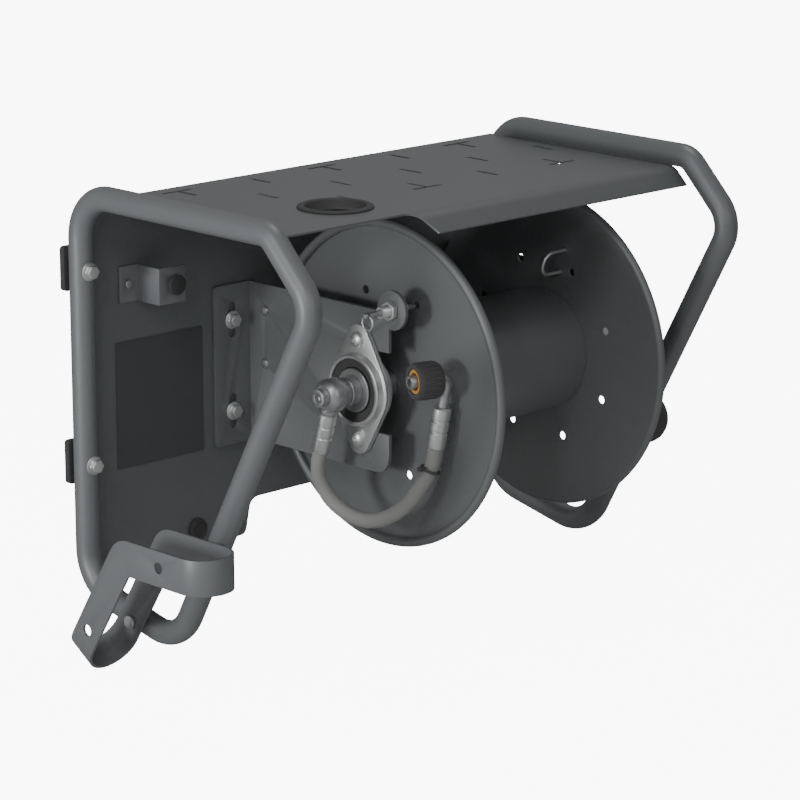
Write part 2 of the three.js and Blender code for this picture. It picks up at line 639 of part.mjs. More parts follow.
// ---------------------------------------------------------------- reel
/** A disc with lock holes and a rim rolled outwards, away from the drum. */
function reelDisc(x, outward) {
  const near = x - outward * DISC_SHEET / 2;
  const far = x + outward * DISC_SHEET / 2;
  const rimX = near + outward * DISC_BEAD;
  const rimR = DISC_RADIUS - DISC_BEAD;
  const profile = [[AXLE_RADIUS + GAP, near], [rimR, near]];
  for (let step = 1; step <= 5; step += 1) {
    const angle = step * Math.PI * 1.36 / 5;
    profile.push([rimR + DISC_BEAD * Math.sin(angle), rimX - outward * DISC_BEAD * Math.cos(angle)]);
  }
  profile.push([rimR - DISC_BEAD + 0.6, far], [AXLE_RADIUS + GAP, far], [AXLE_RADIUS + GAP, near]);
  if (outward > 0) profile.reverse();
  let disc = solid(turnedX(profile.reverse(), 40));
  for (let index = 0; index < LOCK_COUNT; index += 1) {
    const angle = THREE.MathUtils.degToRad(LOCK_ANGLE + index * 360 / LOCK_COUNT);
    const hole = barX(5, x - 10, 20, LOCK_RADIUS * Math.cos(angle), LOCK_RADIUS * Math.sin(angle), 8);
    disc = disc.subtract(solid(hole));
  }
  for (const degrees of [85, -137]) {
    const angle = THREE.MathUtils.degToRad(degrees);
    disc = disc.subtract(solid(barX(4, x - 10, 20, 109 * Math.cos(angle), 109 * Math.sin(angle), 8)));
  }
  return disc;
}

function buildReel() {
  const at = [0, AXIS_Y, AXIS_Z];
  SIDES.forEach(([side, sign], index) => {
    piece(`reel_disc_${side}`, reelDisc(DISC_X[index], sign), REEL_PAINT, at);
  });
  const start = REEL_MID_X - DRUM_LENGTH / 2 + GAP;
  const end = REEL_MID_X + DRUM_LENGTH / 2 - GAP;
  const drum = [
    [DRUM_RADIUS - DRUM_WALL, start], [DRUM_RADIUS, start], [DRUM_RADIUS, end],
    [DRUM_RADIUS - DRUM_WALL, end], [DRUM_RADIUS - DRUM_WALL, start],
  ];
  piece('reel_drum', turnedX(drum, 36), REEL_PAINT, at);
  const left = ARM_INNER[0] - 30;
  const right = CRANK_X - GAP;
  const cap = CRANK_X + CRANK_BAR.thickness + GAP;
  const axle = [
    [0, left], [AXLE_RADIUS, left], [AXLE_RADIUS, right], [10, right],
    [10, cap], [14, cap], [14, cap + 5], [9, cap + 8], [0, cap + 8],
  ];
  piece('reel_axle', turnedX(axle, 20), STEEL, at);

  const clipRadius = 2;
  const face = DISC_X[1] - DISC_SHEET / 2 - GAP;
  const foot = THREE.MathUtils.degToRad(107);
  const legs = [116, 90].map((r) => [AXIS_Y + r * Math.cos(foot), AXIS_Z + r * Math.sin(foot)]);
  const wire = new BentPath([
    new THREE.Vector3(face, ...legs[0]), new THREE.Vector3(face - 30, ...legs[0]),
    new THREE.Vector3(face - 30, ...legs[1]), new THREE.Vector3(face, ...legs[1]),
  ], [0, 12, 12, 0], false, 4);
  piece('hose_retainer_wire', wireSolid(wire, clipRadius), ZINC);
}

/** A round wire along an open bent path. */
function wireSolid(path, radius, sides = 4) {
  const section = new THREE.Shape().absarc(0, 0, radius, 0, 2 * Math.PI);
  return new THREE.ExtrudeGeometry(section, {
    steps: path.segments, extrudePath: path, bevelEnabled: false, curveSegments: sides,
  });
}

// ---------------------------------------------------------------- crank
function buildCrank() {
  const half = CRANK_BAR.width / 2;
  const outline = new THREE.Shape();
  outline.absarc(AXIS_Y, AXIS_Z, half + 3, 0, Math.PI, false);
  outline.absarc(AXIS_Y, AXIS_Z - CRANK_LENGTH, half, Math.PI, 2 * Math.PI, false);
  outline.closePath();
  const arm = solid(plateX(outline, CRANK_X, CRANK_BAR.thickness, 10))
    .subtract(solid(barX(10 + GAP, CRANK_X - 5, 20, AXIS_Y, AXIS_Z)))
    .subtract(solid(barX(CRANK_PIN + GAP, CRANK_X - 5, 20, AXIS_Y, AXIS_Z - CRANK_LENGTH, 16)));
  piece('crank_arm', arm, REEL_PAINT);
  const start = CRANK_X + CRANK_BAR.thickness + 1;
  const end = start + GRIP_LENGTH;
  const grip = [
    [CRANK_PIN + GAP, start], [17, start], [19, start + 6], [GRIP_RADIUS - 4, start + 14],
    [GRIP_RADIUS, start + 24], [GRIP_RADIUS, end - 16], [GRIP_RADIUS - 5, end - 5], [GRIP_RADIUS - 12, end],
    [CRANK_PIN + GAP, end], [CRANK_PIN + GAP, start],
  ];
  piece('crank_grip', turnedX(grip, 24), PLASTIC, [0, AXIS_Y, AXIS_Z - CRANK_LENGTH]);
  const pin = [
    [0, CRANK_X - 4], [8, CRANK_X - 4], [8, CRANK_X - GAP], [CRANK_PIN, CRANK_X - GAP],
    [CRANK_PIN, end + 1], [9, end + 1], [9, end + 3.5], [0, end + 3.5],
  ];
  piece('crank_pin', turnedX(pin, 16), ZINC, [0, AXIS_Y, AXIS_Z - CRANK_LENGTH]);
}

// ---------------------------------------------------------------- lock pin
const LOCK_CLEAR = 2.5;          // between the parked pin's nose and the disc
function buildLockPin() {
  const face = ARM_INNER[0] - ARM_THICKNESS;
  const at = [0, LOCK_Y, LOCK_Z];
  const barrel = solid(barX(6, face - 16, 34, 0, 0, 16))
    .subtract(solid(barX(3 + GAP, face - 40, 80, 0, 0, 12)));
  piece('lock_barrel', barrel, ZINC, at);
  const nut = solid(barX(10.5, face - GAP - 6, 6, 0, 0, 6))
    .subtract(solid(barX(6 + GAP, face - 20, 30, 0, 0, 16)));
  piece('lock_nut', nut, ZINC, at);
  const nose = DISC_X[0] - DISC_SHEET / 2 - LOCK_CLEAR;
  const tail = face - 38;
  const plunger = [[0, tail], [2, tail], [3, tail + 2], [3, nose - 2], [2, nose], [0, nose]];
  const eye = barY(1.8, -6, 12, tail + 5, 0, 10);
  piece('lock_plunger', solid(turnedX(plunger, 12)).subtract(solid(eye)), STEEL, at);
  const ring = new THREE.TorusGeometry(7.5, 1, 6, 20);
  ring.rotateY(Math.PI / 2);
  piece('lock_pull_ring', ring, ZINC, [tail + 5, LOCK_Y, LOCK_Z - 7.5]);
}

// ---------------------------------------------------------------- swivel, hose and hand nut
const SWIVEL_X = -112;
const DROP_TILT = new THREE.Vector3(0, 0.275, -0.961).normalize();
const RISE_TILT = new THREE.Vector3(0.06, -0.17, 0.984).normalize();
const NUT_AXIS = new THREE.Vector3(-0.958, 0.284, 0).normalize();
const HOSE_ROUTE = [
  [-112, -172.2, -193.1], [-112, -168.5, -206.6], [-109.6, -166.6, -220], [-105, -168.4, -233.5],
  [-100.5, -175, -246], [-95, -186.5, -256.3], [-89.5, -201, -262.6], [-84, -217, -263.6],
  [-78.5, -232.5, -258.6], [-73, -246.5, -249.2], [-67.5, -258, -237], [-62.5, -266.8, -222.6],
  [-57, -273.8, -208], [-53.8, -277.7, -193.1], [-53, -280, -179.8],
].map((point) => new THREE.Vector3(...point));

/** A turned body along any direction; profile points are [radius, distance]. */
function turnedAlong(profile, start, direction, segments = 18) {
  const points = profile.map(([radius, distance]) => new THREE.Vector2(radius, distance));
  const geometry = new THREE.LatheGeometry(points, segments);
  const turn = new THREE.Quaternion().setFromUnitVectors(new THREE.Vector3(0, 1, 0), direction);
  return geometry.applyQuaternion(turn).translate(...start);
}

/** A smooth free cord through hand-chosen points, with a fixed number of steps. */
class CordPath extends THREE.CatmullRomCurve3 {
  constructor(points) {
    super(points, false, 'centripetal');
    this.segments = 40;
  }
}

function buildHose() {
  const axis = [0, AXIS_Y, AXIS_Z];
  const end = ARM_INNER[0] - 30 - GAP;
  const body = solid(turnedX([
    [0, SWIVEL_X - 12], [13, SWIVEL_X - 12], [17, SWIVEL_X - 8], [17.5, SWIVEL_X + 6],
    [14, SWIVEL_X + 9], [14, end], [0, end], [0, SWIVEL_X - 12],
  ], 24));
  const centre = new THREE.Vector3(SWIVEL_X, 0, 0);
  const neck = turnedAlong([[0, 4], [10, 4], [10, 20], [0, 20]], centre, DROP_TILT, 16);
  piece('swivel_body', body.add(solid(neck)), STEEL, axis);
  const plugEnd = SWIVEL_X - 12 - GAP;
  const plug = solid(barX(9.5, plugEnd - 8, 8, 0, 0, 16))
    .subtract(solid(barX(4.5, plugEnd - 12, 9, 0, 0, 6)));
  piece('swivel_plug', plug, STEEL, axis);

  const swivelEnd = new THREE.Vector3(SWIVEL_X, AXIS_Y, AXIS_Z).addScaledVector(DROP_TILT, 20 + GAP);
  const ferrule = [[0, 0], [8, 0], [9.5, 2], [9.5, 43], [8.8, 44], [0, 44]];
  piece('ferrule_swivel_end', turnedAlong(ferrule, swivelEnd, DROP_TILT), ZINC);
  const cord = new CordPath(HOSE_ROUTE);
  piece('jumper_hose', wireSolid(cord, HOSE_DIAMETER / 2, 5), HOSE_COVER);

  const last = HOSE_ROUTE.at(-1).clone().addScaledVector(RISE_TILT, GAP);
  const upper = [[0, 0], [8.8, 0], [9.5, 1], [9.5, 42], [8, 44], [0, 44]];
  piece('ferrule_nut_end', turnedAlong(upper, last, RISE_TILT), ZINC);
  const top = last.clone().addScaledVector(RISE_TILT, 44 + GAP);
  const corner = top.clone().addScaledVector(RISE_TILT, 31);
  const reach = corner.clone().addScaledVector(NUT_AXIS, 32);
  const along = (profile, sides) => solid(turnedAlong(profile, corner, NUT_AXIS, sides));
  const pipe = wireSolid(new BentPath([top, corner, reach], [0, 8, 0], false, 5), 5.5, 6);
  const tip = [[0, 25], [7.2, 25], [7.2, 44], [4, 44], [4, 36], [0, 36]];
  piece('elbow_pipe', solid(pipe).add(along(tip, 16)), STEEL);
  const nut = [
    [5.5 + GAP, 10], [17, 10], [19.5, 13], [19.5, 38], [18.5, 39], [13, 39],
    [13, 17], [5.5 + GAP, 17], [5.5 + GAP, 10],
  ];
  piece('hand_nut', along(nut, 24), PLASTIC);
  const insert = [[9, 18], [13 - GAP, 18], [13 - GAP, 38], [9, 38], [9, 18]];
  piece('nut_insert', along(insert, 20), ORANGE);

  const tieAt = new THREE.Vector3(-55.9, -275.1, -203.2);
  const band = new THREE.TorusGeometry(HOSE_DIAMETER / 2 + 2.2, 1.4, 6, 20);
  band.applyQuaternion(new THREE.Quaternion().setFromUnitVectors(
    new THREE.Vector3(0, 0, 1), new THREE.Vector3(0.24, -0.28, 0.93).normalize()));
  band.translate(...tieAt);
  const head = new THREE.BoxGeometry(6, 5, 4).translate(tieAt.x - 13, tieAt.y, tieAt.z + 3);
  piece('zip_tie', solid(band).add(solid(head)), PLASTIC);
}

// ---------------------------------------------------------------- lance holder
function buildHolder() {
  const backX = -FRAME_X - TUBE_R - GAP - STRIP;
  const frontX = backX - HOLDER_GAP;
  const lean = new THREE.Vector2(0.538, -0.843).normalize();
  const across = new THREE.Vector2(-lean.y, lean.x).negate();
  const top = HOLDER_BOLT_Z + 110;
  const front = LEG_Y - 232;
  const middle = new THREE.Vector2(HOLDER_BOLT_Y + 3, HOLDER_BOLT_Z - 2);
  const foot = middle.clone().addScaledVector(lean, 10);
  const outerFoot = foot.clone().addScaledVector(across, -BAND / 2);
  const innerFoot = foot.clone().addScaledVector(across, BAND / 2);
  const climb = (from, z) => from.clone().addScaledVector(lean, (z - from.y) / lean.y);
  const outer = climb(outerFoot, top);
  const inner = climb(innerFoot, top - BAND - 2);
  const outline = roundedShape([
    [front, top, 0], [outer.x, outer.y, 32], [outerFoot.x, outerFoot.y, 0],
    [innerFoot.x, innerFoot.y, 0], [inner.x, inner.y, 8], [front, top - BAND - 2, 0],
  ]);
  const radius = HOLDER_GAP / 2;
  const midX = (backX + frontX) / 2 + STRIP / 2;
  const bend = new THREE.Shape();
  bend.absarc(0, 0, radius + STRIP / 2, 0, Math.PI, false);
  bend.absarc(0, 0, radius - STRIP / 2, Math.PI, 0, true);
  bend.closePath();
  const round = { bevelEnabled: false, curveSegments: 10 };
  const frontBend = new THREE.ExtrudeGeometry(bend, { depth: BAND + 2, ...round });
  frontBend.rotateZ(Math.PI).translate(midX, front, top - BAND - 2);
  const footBend = new THREE.ExtrudeGeometry(bend, { depth: BAND, ...round });
  const axisDirection = new THREE.Vector3(0, across.x, across.y);
  const downDirection = new THREE.Vector3(0, lean.x, lean.y);
  const sideDirection = downDirection.clone().cross(axisDirection);
  footBend.applyMatrix4(new THREE.Matrix4().makeBasis(sideDirection, downDirection, axisDirection));
  footBend.translate(midX, outerFoot.x, outerFoot.y);
  let holder = solid(plateX(outline, frontX, STRIP, 6)).add(solid(plateX(outline, backX, STRIP, 6)));
  holder = holder.add(solid(frontBend)).add(solid(footBend));
  holder = holder.subtract(solid(barX(6, frontX - 5, 12, front + 34, top - BAND / 2, 14)));
  holder = holder.subtract(solid(barX(6, frontX - 5, 12, foot.x - 8, foot.y + 14, 14)));
  const shank = BOLT_SHANK * 0.75;
  holder = holder.subtract(solid(barX(shank + GAP, backX - 3, 10, HOLDER_BOLT_Y, HOLDER_BOLT_Z, 12)));
  piece('lance_holder', holder, FRAME_PAINT);
  const bolt = solid(barX(7, backX - GAP - 3.5, 3.5, HOLDER_BOLT_Y, HOLDER_BOLT_Z, 12))
    .add(solid(barX(shank, backX - GAP - 1, 13, HOLDER_BOLT_Y, HOLDER_BOLT_Z, 10)));
  piece('holder_bolt', bolt, ZINC);
}

buildFrames();
buildWallFixings();
buildSheet();
buildCupRing();
buildPanelFittings();
buildArms();
buildReel();
buildCrank();
buildLockPin();
buildHose();
buildHolder();

export default assembly;
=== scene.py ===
"""Wall-hung pressure-washer bracket: shelf, hose reel, lance holder and jumper hose.

Everything is in metres in the CAD frame: +X right along the shelf, +Y into the wall, +Z up.
"""

import logging
import math
from dataclasses import dataclass, field
from enum import Enum
from typing import Callable, Iterable, Sequence

import bmesh
import bpy
from mathutils import Matrix, Vector


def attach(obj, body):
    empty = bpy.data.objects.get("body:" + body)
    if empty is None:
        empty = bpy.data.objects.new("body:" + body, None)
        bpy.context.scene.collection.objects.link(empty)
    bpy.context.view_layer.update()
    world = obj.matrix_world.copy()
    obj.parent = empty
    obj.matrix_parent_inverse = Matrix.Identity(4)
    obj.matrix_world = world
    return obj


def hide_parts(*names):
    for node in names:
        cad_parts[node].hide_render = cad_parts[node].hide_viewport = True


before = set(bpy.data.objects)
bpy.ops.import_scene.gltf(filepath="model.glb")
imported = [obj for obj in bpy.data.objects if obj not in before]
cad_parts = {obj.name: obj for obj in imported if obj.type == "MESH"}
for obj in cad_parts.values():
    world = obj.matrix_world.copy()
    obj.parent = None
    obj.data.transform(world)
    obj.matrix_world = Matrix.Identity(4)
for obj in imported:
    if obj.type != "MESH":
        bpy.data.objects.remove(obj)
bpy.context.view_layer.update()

log = logging.getLogger("bracket")

Profile = Sequence[tuple[float, float]]
MM = 0.001

AXIS = Vector((0.0, -0.190, -0.131))
FRAME_X = 0.2955
TUBE_RADIUS = 0.0127
DISC_X = {"left": -0.0336, "right": 0.1944}
DISC_RADIUS = 0.172
ARM_OUTER = {"left": -0.0696, "right": 0.2304}
SIGN = {"left": -1.0, "right": 1.0}
SIDES = ("left", "right")
SHANK_SHOWN = 34.0  # the most of a bolt shank that is modelled, in millimetres


class Body(str, Enum):
    """The rigid bodies of the CAD model."""

    BRACKET = "bracket"
    REEL = "reel"
    GRIP = "crank_grip_body"
    PIN = "lock_pin"
    NUT = "coupling_nut"


# ------------------------------------------------------------------ shader groups
def _socket(tree: bpy.types.NodeTree, name: str, kind: str, way: str, default: float | None = None) -> None:
    """Adds one named socket to a node group."""
    made = tree.interface.new_socket(name, in_out=way, socket_type=kind)
    if default is not None:
        made.default_value = default


@dataclass(frozen=True)
class ShaderEffect:
    """A shader node group shared by several finishes."""

    name: str
    inputs: tuple[tuple[str, float], ...]
    outputs: tuple[str, ...]
    wire: Callable[[bpy.types.NodeTree, bpy.types.Node, bpy.types.Node], None]

    def group(self) -> bpy.types.NodeTree:
        """Returns the group, building it the first time."""
        found = bpy.data.node_groups.get(self.name)
        if found:
            return found
        tree = bpy.data.node_groups.new(self.name, "ShaderNodeTree")
        for name, default in self.inputs:
            _socket(tree, name, "NodeSocketFloat", "INPUT", default)
        for name in self.outputs:
            _socket(tree, name, "NodeSocketFloat", "OUTPUT")
        self.wire(tree, tree.nodes.new("NodeGroupInput"), tree.nodes.new("NodeGroupOutput"))
        return tree


def _noise(tree: bpy.types.NodeTree, detail: float) -> bpy.types.Node:
    """A noise texture read in object coordinates."""
    place = tree.nodes.new("ShaderNodeTexCoord")
    noise = tree.nodes.new("ShaderNodeTexNoise")
    noise.inputs["Detail"].default_value = detail
    tree.links.new(place.outputs["Object"], noise.inputs["Vector"])
    return noise


def _math(tree: bpy.types.NodeTree, operation: str, first: object, second: object) -> bpy.types.NodeSocket:
    """A maths node whose inputs are sockets or plain numbers.

    Args:
        tree: The node tree to add to.
        operation: The Blender name of the operation.
        first: A socket or a number.
        second: A socket or a number.

    Returns:
        The node's output socket.
    """
    node = tree.nodes.new("ShaderNodeMath")
    node.operation = operation
    node.use_clamp = True
    for slot, value in zip(node.inputs, (first, second)):
        if isinstance(value, bpy.types.NodeSocket):
            tree.links.new(value, slot)
        else:
            slot.default_value = value
    return node.outputs[0]


def _wire_grain(tree: bpy.types.NodeTree, start: bpy.types.Node, end: bpy.types.Node) -> None:
    """Fine texture for the bump and a slow cloud for roughness."""
    fine = _noise(tree, 3.0)
    tree.links.new(start.outputs["Scale"], fine.inputs["Scale"])
    cloud = _noise(tree, 2.0)
    cloud.inputs["Scale"].default_value = 9.0
    tree.links.new(fine.outputs["Fac"], end.inputs["Height"])
    tree.links.new(cloud.outputs["Fac"], end.inputs["Cloud"])


def _wire_wear(tree: bpy.types.NodeTree, start: bpy.types.Node, end: bpy.types.Node) -> None:
    """A mask on sharp convex edges, broken up by noise."""
    shape = tree.nodes.new("ShaderNodeNewGeometry")
    edge = tree.nodes.new("ShaderNodeMapRange")
    edge.inputs["From Min"].default_value = 0.54
    edge.inputs["From Max"].default_value = 0.68
    tree.links.new(shape.outputs["Pointiness"], edge.inputs["Value"])
    broken = _noise(tree, 6.0)
    broken.inputs["Scale"].default_value = 60.0
    mask = _math(tree, "MULTIPLY", edge.outputs["Result"], broken.outputs["Fac"])
    tree.links.new(_math(tree, "MULTIPLY", mask, start.outputs["Amount"]), end.inputs["Mask"])


def _wire_dust(tree: bpy.types.NodeTree, start: bpy.types.Node, end: bpy.types.Node) -> None:
    """A mask on faces that look up, in soft patches."""
    shape = tree.nodes.new("ShaderNodeNewGeometry")
    split = tree.nodes.new("ShaderNodeSeparateXYZ")
    tree.links.new(shape.outputs["Normal"], split.inputs[0])
    upward = _math(tree, "SUBTRACT", split.outputs["Z"], 0.35)
    patch = _noise(tree, 8.0)
    patch.inputs["Scale"].default_value = 14.0
    mask = _math(tree, "MULTIPLY", upward, patch.outputs["Fac"])
    tree.links.new(_math(tree, "MULTIPLY", mask, start.outputs["Amount"]), end.inputs["Mask"])


GRAIN = ShaderEffect("SurfaceGrain", (("Scale", 900.0),), ("Height", "Cloud"), _wire_grain)
WEAR = ShaderEffect("EdgeWear", (("Amount", 0.6),), ("Mask",), _wire_wear)
DUST = ShaderEffect("SettledDust", (("Amount", 0.3),), ("Mask",), _wire_dust)


# ------------------------------------------------------------------ finishes
Colour = tuple[float, float, float]


@dataclass(frozen=True)
class Finish:
    """A surface finish with grain, worn edges and a little dust."""

    name: str
    colour: Colour
    roughness: float
    metallic: float = 0.0
    grain_scale: float = 900.0
    grain_depth: float = 0.05
    worn: Colour = (0.5, 0.5, 0.5)
    wear: float = 0.35
    dust: float = 0.12
    coat: float = 0.0
    shine: float = 0.35

    def material(self) -> bpy.types.Material:
        """Finds or builds the material of this name.

        Returns:
            The frame's own material of this name, or a new one only if the frame has none.
        """
        found = bpy.data.materials.get(self.name)
        if found:
            return found
        made = bpy.data.materials.new(self.name)
        made.use_nodes = True
        made.diffuse_color = (*self.colour, 1.0)
        tree = made.node_tree
        shader = tree.nodes["Principled BSDF"]
        shader.inputs["Metallic"].default_value = self.metallic
        shader.inputs["Coat Weight"].default_value = self.coat
        shader.inputs["Specular IOR Level"].default_value = self.shine
        tree.links.new(self._colour(tree), shader.inputs["Base Color"])
        self._surface(tree, shader)
        return made

    def _group(self, tree: bpy.types.NodeTree, effect: ShaderEffect, value: float) -> bpy.types.Node:
        """Adds an effect whose single input takes the value."""
        node = tree.nodes.new("ShaderNodeGroup")
        node.node_tree = effect.group()
        node.inputs[0].default_value = value
        return node

    def _mix(self, tree: bpy.types.NodeTree, mask: bpy.types.NodeSocket, under: object,
             over: Colour) -> bpy.types.NodeSocket:
        """Lays one colour over another through a mask."""
        node = tree.nodes.new("ShaderNodeMix")
        node.data_type = "RGBA"
        tree.links.new(mask, node.inputs[0])
        if isinstance(under, bpy.types.NodeSocket):
            tree.links.new(under, node.inputs[6])
        else:
            node.inputs[6].default_value = (*under, 1.0)
        node.inputs[7].default_value = (*over, 1.0)
        return node.outputs[2]

    def _base(self, tree: bpy.types.NodeTree) -> object:
        """The colour under the wear and the dust."""
        return self.colour

    def _colour(self, tree: bpy.types.NodeTree) -> bpy.types.NodeSocket:
        """The base colour with worn edges and dust laid over it."""
        worn = self._mix(tree, self._group(tree, WEAR, self.wear).outputs[0], self._base(tree), self.worn)
        return self._mix(tree, self._group(tree, DUST, self.dust).outputs[0], worn, (0.42, 0.41, 0.39))

    def _surface(self, tree: bpy.types.NodeTree, shader: bpy.types.Node) -> None:
        """Roughness from the cloud and a bump from the fine grain."""
        grain = self._group(tree, GRAIN, self.grain_scale)
        spread = tree.nodes.new("ShaderNodeMapRange")
        spread.inputs["To Min"].default_value = max(self.roughness - 0.08, 0.02)
        spread.inputs["To Max"].default_value = min(self.roughness + 0.08, 1.0)
        tree.links.new(grain.outputs["Cloud"], spread.inputs["Value"])
        tree.links.new(spread.outputs["Result"], shader.inputs["Roughness"])
        bump = tree.nodes.new("ShaderNodeBump")
        bump.inputs["Strength"].default_value = self.grain_depth
        bump.inputs["Distance"].default_value = 0.0005
        tree.links.new(grain.outputs["Height"], bump.inputs["Height"])
        tree.links.new(bump.outputs["Normal"], shader.inputs["Normal"])


@dataclass(frozen=True)
class LabelFilm(Finish):
    """A plain dark film with a lighter band across its head and no lettering."""

    band: Colour = (0.30, 0.30, 0.30)
    band_from: float = -0.107
    band_to: float = -0.092

    def _base(self, tree: bpy.types.NodeTree) -> bpy.types.NodeSocket:
        """The film's colour with one lighter band."""
        place = tree.nodes.new("ShaderNodeTexCoord")
        split = tree.nodes.new("ShaderNodeSeparateXYZ")
        tree.links.new(place.outputs["Object"], split.inputs[0])
        above = _math(tree, "GREATER_THAN", split.outputs["Z"], self.band_from)
        below = _math(tree, "LESS_THAN", split.outputs["Z"], self.band_to)
        return self._mix(tree, _math(tree, "MULTIPLY", above, below), self.colour, self.band)


@dataclass(frozen=True)
class WrappedHose(Finish):
    """A hose cover with the coarse skin that its wrapping leaves."""

    skin: float = 260.0

    def _surface(self, tree: bpy.types.NodeTree, shader: bpy.types.Node) -> None:
        """Adds the coarse skin to the plain grain."""
        super()._surface(tree, shader)
        place = tree.nodes.new("ShaderNodeTexCoord")
        wave = tree.nodes.new("ShaderNodeTexNoise")
        wave.inputs["Scale"].default_value = self.skin
        wave.inputs["Detail"].default_value = 1.0
        tree.links.new(place.outputs["Object"], wave.inputs["Vector"])
        bump = tree.nodes.new("ShaderNodeBump")
        bump.inputs["Strength"].default_value = 0.35
        bump.inputs["Distance"].default_value = 0.0006
        tree.links.new(wave.outputs["Fac"], bump.inputs["Height"])
        tree.links.new(bump.outputs["Normal"], shader.inputs["Normal"])


FRAME_PAINT = Finish("frame_paint", (0.034, 0.036, 0.038), 0.29, 0.35, 1400, 0.12,
                     (0.2, 0.2, 0.2), 0.3, 0.05)
SHEET_PAINT = Finish("sheet_paint", (0.010, 0.0105, 0.011), 0.46, 0.15, 1500, 0.12,
                     (0.12, 0.12, 0.12), 0.3, 0.06)
REEL_PAINT = Finish("reel_paint", (0.018, 0.019, 0.020), 0.33, 0.3, 1400, 0.12,
                    (0.15, 0.15, 0.15), 0.3, 0.05)
ZINC = Finish("zinc", (0.86, 0.87, 0.86), 0.20, 0.95, 500, 0.06, (0.8, 0.8, 0.8), 0.3, 0.03)
STEEL = Finish("steel", (0.72, 0.72, 0.71), 0.22, 0.95, 700, 0.05, (0.7, 0.7, 0.7), 0.3, 0.03)
RUBBER = Finish("rubber", (0.007, 0.007, 0.007), 0.70, 0.0, 700, 0.25, (0.03, 0.03, 0.03), 0.3, 0.04)
PLASTIC = Finish("plastic", (0.008, 0.008, 0.009), 0.40, 0.0, 900, 0.15, (0.04, 0.04, 0.04), 0.3, 0.04)
LABEL = LabelFilm("label", (0.007, 0.007, 0.008), 0.40, 0.0, 600, 0.03, (0.03, 0.03, 0.03), 0.1, 0.01)
HOSE = WrappedHose("hose", (0.21, 0.21, 0.20), 0.72, 0.0, 600, 0.25, (0.2, 0.2, 0.2), 0.2, 0.05)
ORANGE = Finish("orange", (0.72, 0.20, 0.02), 0.42, 0.0, 700, 0.08, (0.8, 0.4, 0.15), 0.3, 0.03)


# ------------------------------------------------------------------ geometry nodes
class NodeShape:
    """A geometry node tree with named inputs, run once and turned into a plain mesh."""

    def __init__(self, name: str, inputs: Iterable[tuple[str, str]]) -> None:
        """Makes the empty tree.

        Args:
            name: The tree's name.
            inputs: Pairs of input name and socket type.
        """
        self.tree = bpy.data.node_groups.new(name, "GeometryNodeTree")
        _socket(self.tree, "Geometry", "NodeSocketGeometry", "INPUT")
        for socket, kind in inputs:
            _socket(self.tree, socket, kind, "INPUT")
        _socket(self.tree, "Material", "NodeSocketMaterial", "INPUT")
        _socket(self.tree, "Geometry", "NodeSocketGeometry", "OUTPUT")
        self.start = self.tree.nodes.new("NodeGroupInput")
        self.end = self.tree.nodes.new("NodeGroupOutput")

    def node(self, kind: str, **links: object) -> bpy.types.Node:
        """Adds a node; each keyword names an input, with underscores for spaces."""
        made = self.tree.nodes.new(kind)
        for name, value in links.items():
            target = made.inputs[name.replace("_", " ")]
            if isinstance(value, bpy.types.NodeSocket):
                self.tree.links.new(value, target)
            else:
                target.default_value = value
        return made

    def close(self, geometry: bpy.types.NodeSocket) -> None:
        """Ends the tree with Realize Instances and Set Material."""
        real = self.node("GeometryNodeRealizeInstances", Geometry=geometry)
        paint = self.node("GeometryNodeSetMaterial", Geometry=real.outputs[0],
                          Material=self.start.outputs["Material"])
        self.tree.links.new(paint.outputs[0], self.end.inputs[0])

    def run(self, name: str, source: bpy.types.ID, finish: Finish, **values: object) -> bpy.types.Object:
        """Runs the tree on a mesh or a curve.

        Args:
            name: The finished object's name.
            source: The mesh or curve data that the tree works on.
            finish: The finish of the result.
            **values: A value for each named input.

        Returns:
            A new mesh object without modifiers.
        """
        holder = bpy.data.objects.new(name + "_source", source)
        bpy.context.scene.collection.objects.link(holder)
        modifier = holder.modifiers.new("shape", "NODES")
        modifier.node_group = self.tree
        chosen = {key.replace("_", " "): value for key, value in values.items()}
        chosen["Material"] = finish.material()
        for item in self.tree.interface.items_tree:
            if item.in_out == "INPUT" and item.name in chosen:
                modifier[item.identifier] = chosen[item.name]
        bpy.context.view_layer.update()
        graph = bpy.context.evaluated_depsgraph_get()
        data = bpy.data.meshes.new_from_object(holder.evaluated_get(graph))
        bpy.data.objects.remove(holder)
        return _shown(name, data)


def _swept_tube() -> NodeShape:
    """A round tube along a curve."""
    shape = NodeShape("SweptTube", (("Radius", "NodeSocketFloat"), ("Sides", "NodeSocketInt")))
    ring = shape.node("GeometryNodeCurvePrimitiveCircle", Radius=shape.start.outputs["Radius"],
                      Resolution=shape.start.outputs["Sides"])
    tube = shape.node("GeometryNodeCurveToMesh", Curve=shape.start.outputs["Geometry"],
                      Profile_Curve=ring.outputs[0], Fill_Caps=True)
    shape.close(tube.outputs[0])
    return shape


def _ring_of(shape: NodeShape, item: bpy.types.NodeSocket) -> bpy.types.NodeSocket:
    """Copies of an item round the Z axis, from the tree's Count, Circle and Phase inputs."""
    circle = shape.node("GeometryNodeMeshCircle", Vertices=shape.start.outputs["Count"],
                        Radius=shape.start.outputs["Circle"])
    turn = shape.node("ShaderNodeCombineXYZ", Z=shape.start.outputs["Phase"])
    turned_ring = shape.node("GeometryNodeTransform", Geometry=circle.outputs[0], Rotation=turn.outputs[0])
    copies = shape.node("GeometryNodeInstanceOnPoints", Points=turned_ring.outputs[0], Instance=item)
    return shape.node("GeometryNodeRealizeInstances", Geometry=copies.outputs[0]).outputs[0]


RING_INPUTS = (("Count", "NodeSocketInt"), ("Circle", "NodeSocketFloat"), ("Phase", "NodeSocketFloat"),
               ("Bore", "NodeSocketFloat"), ("Length", "NodeSocketFloat"))


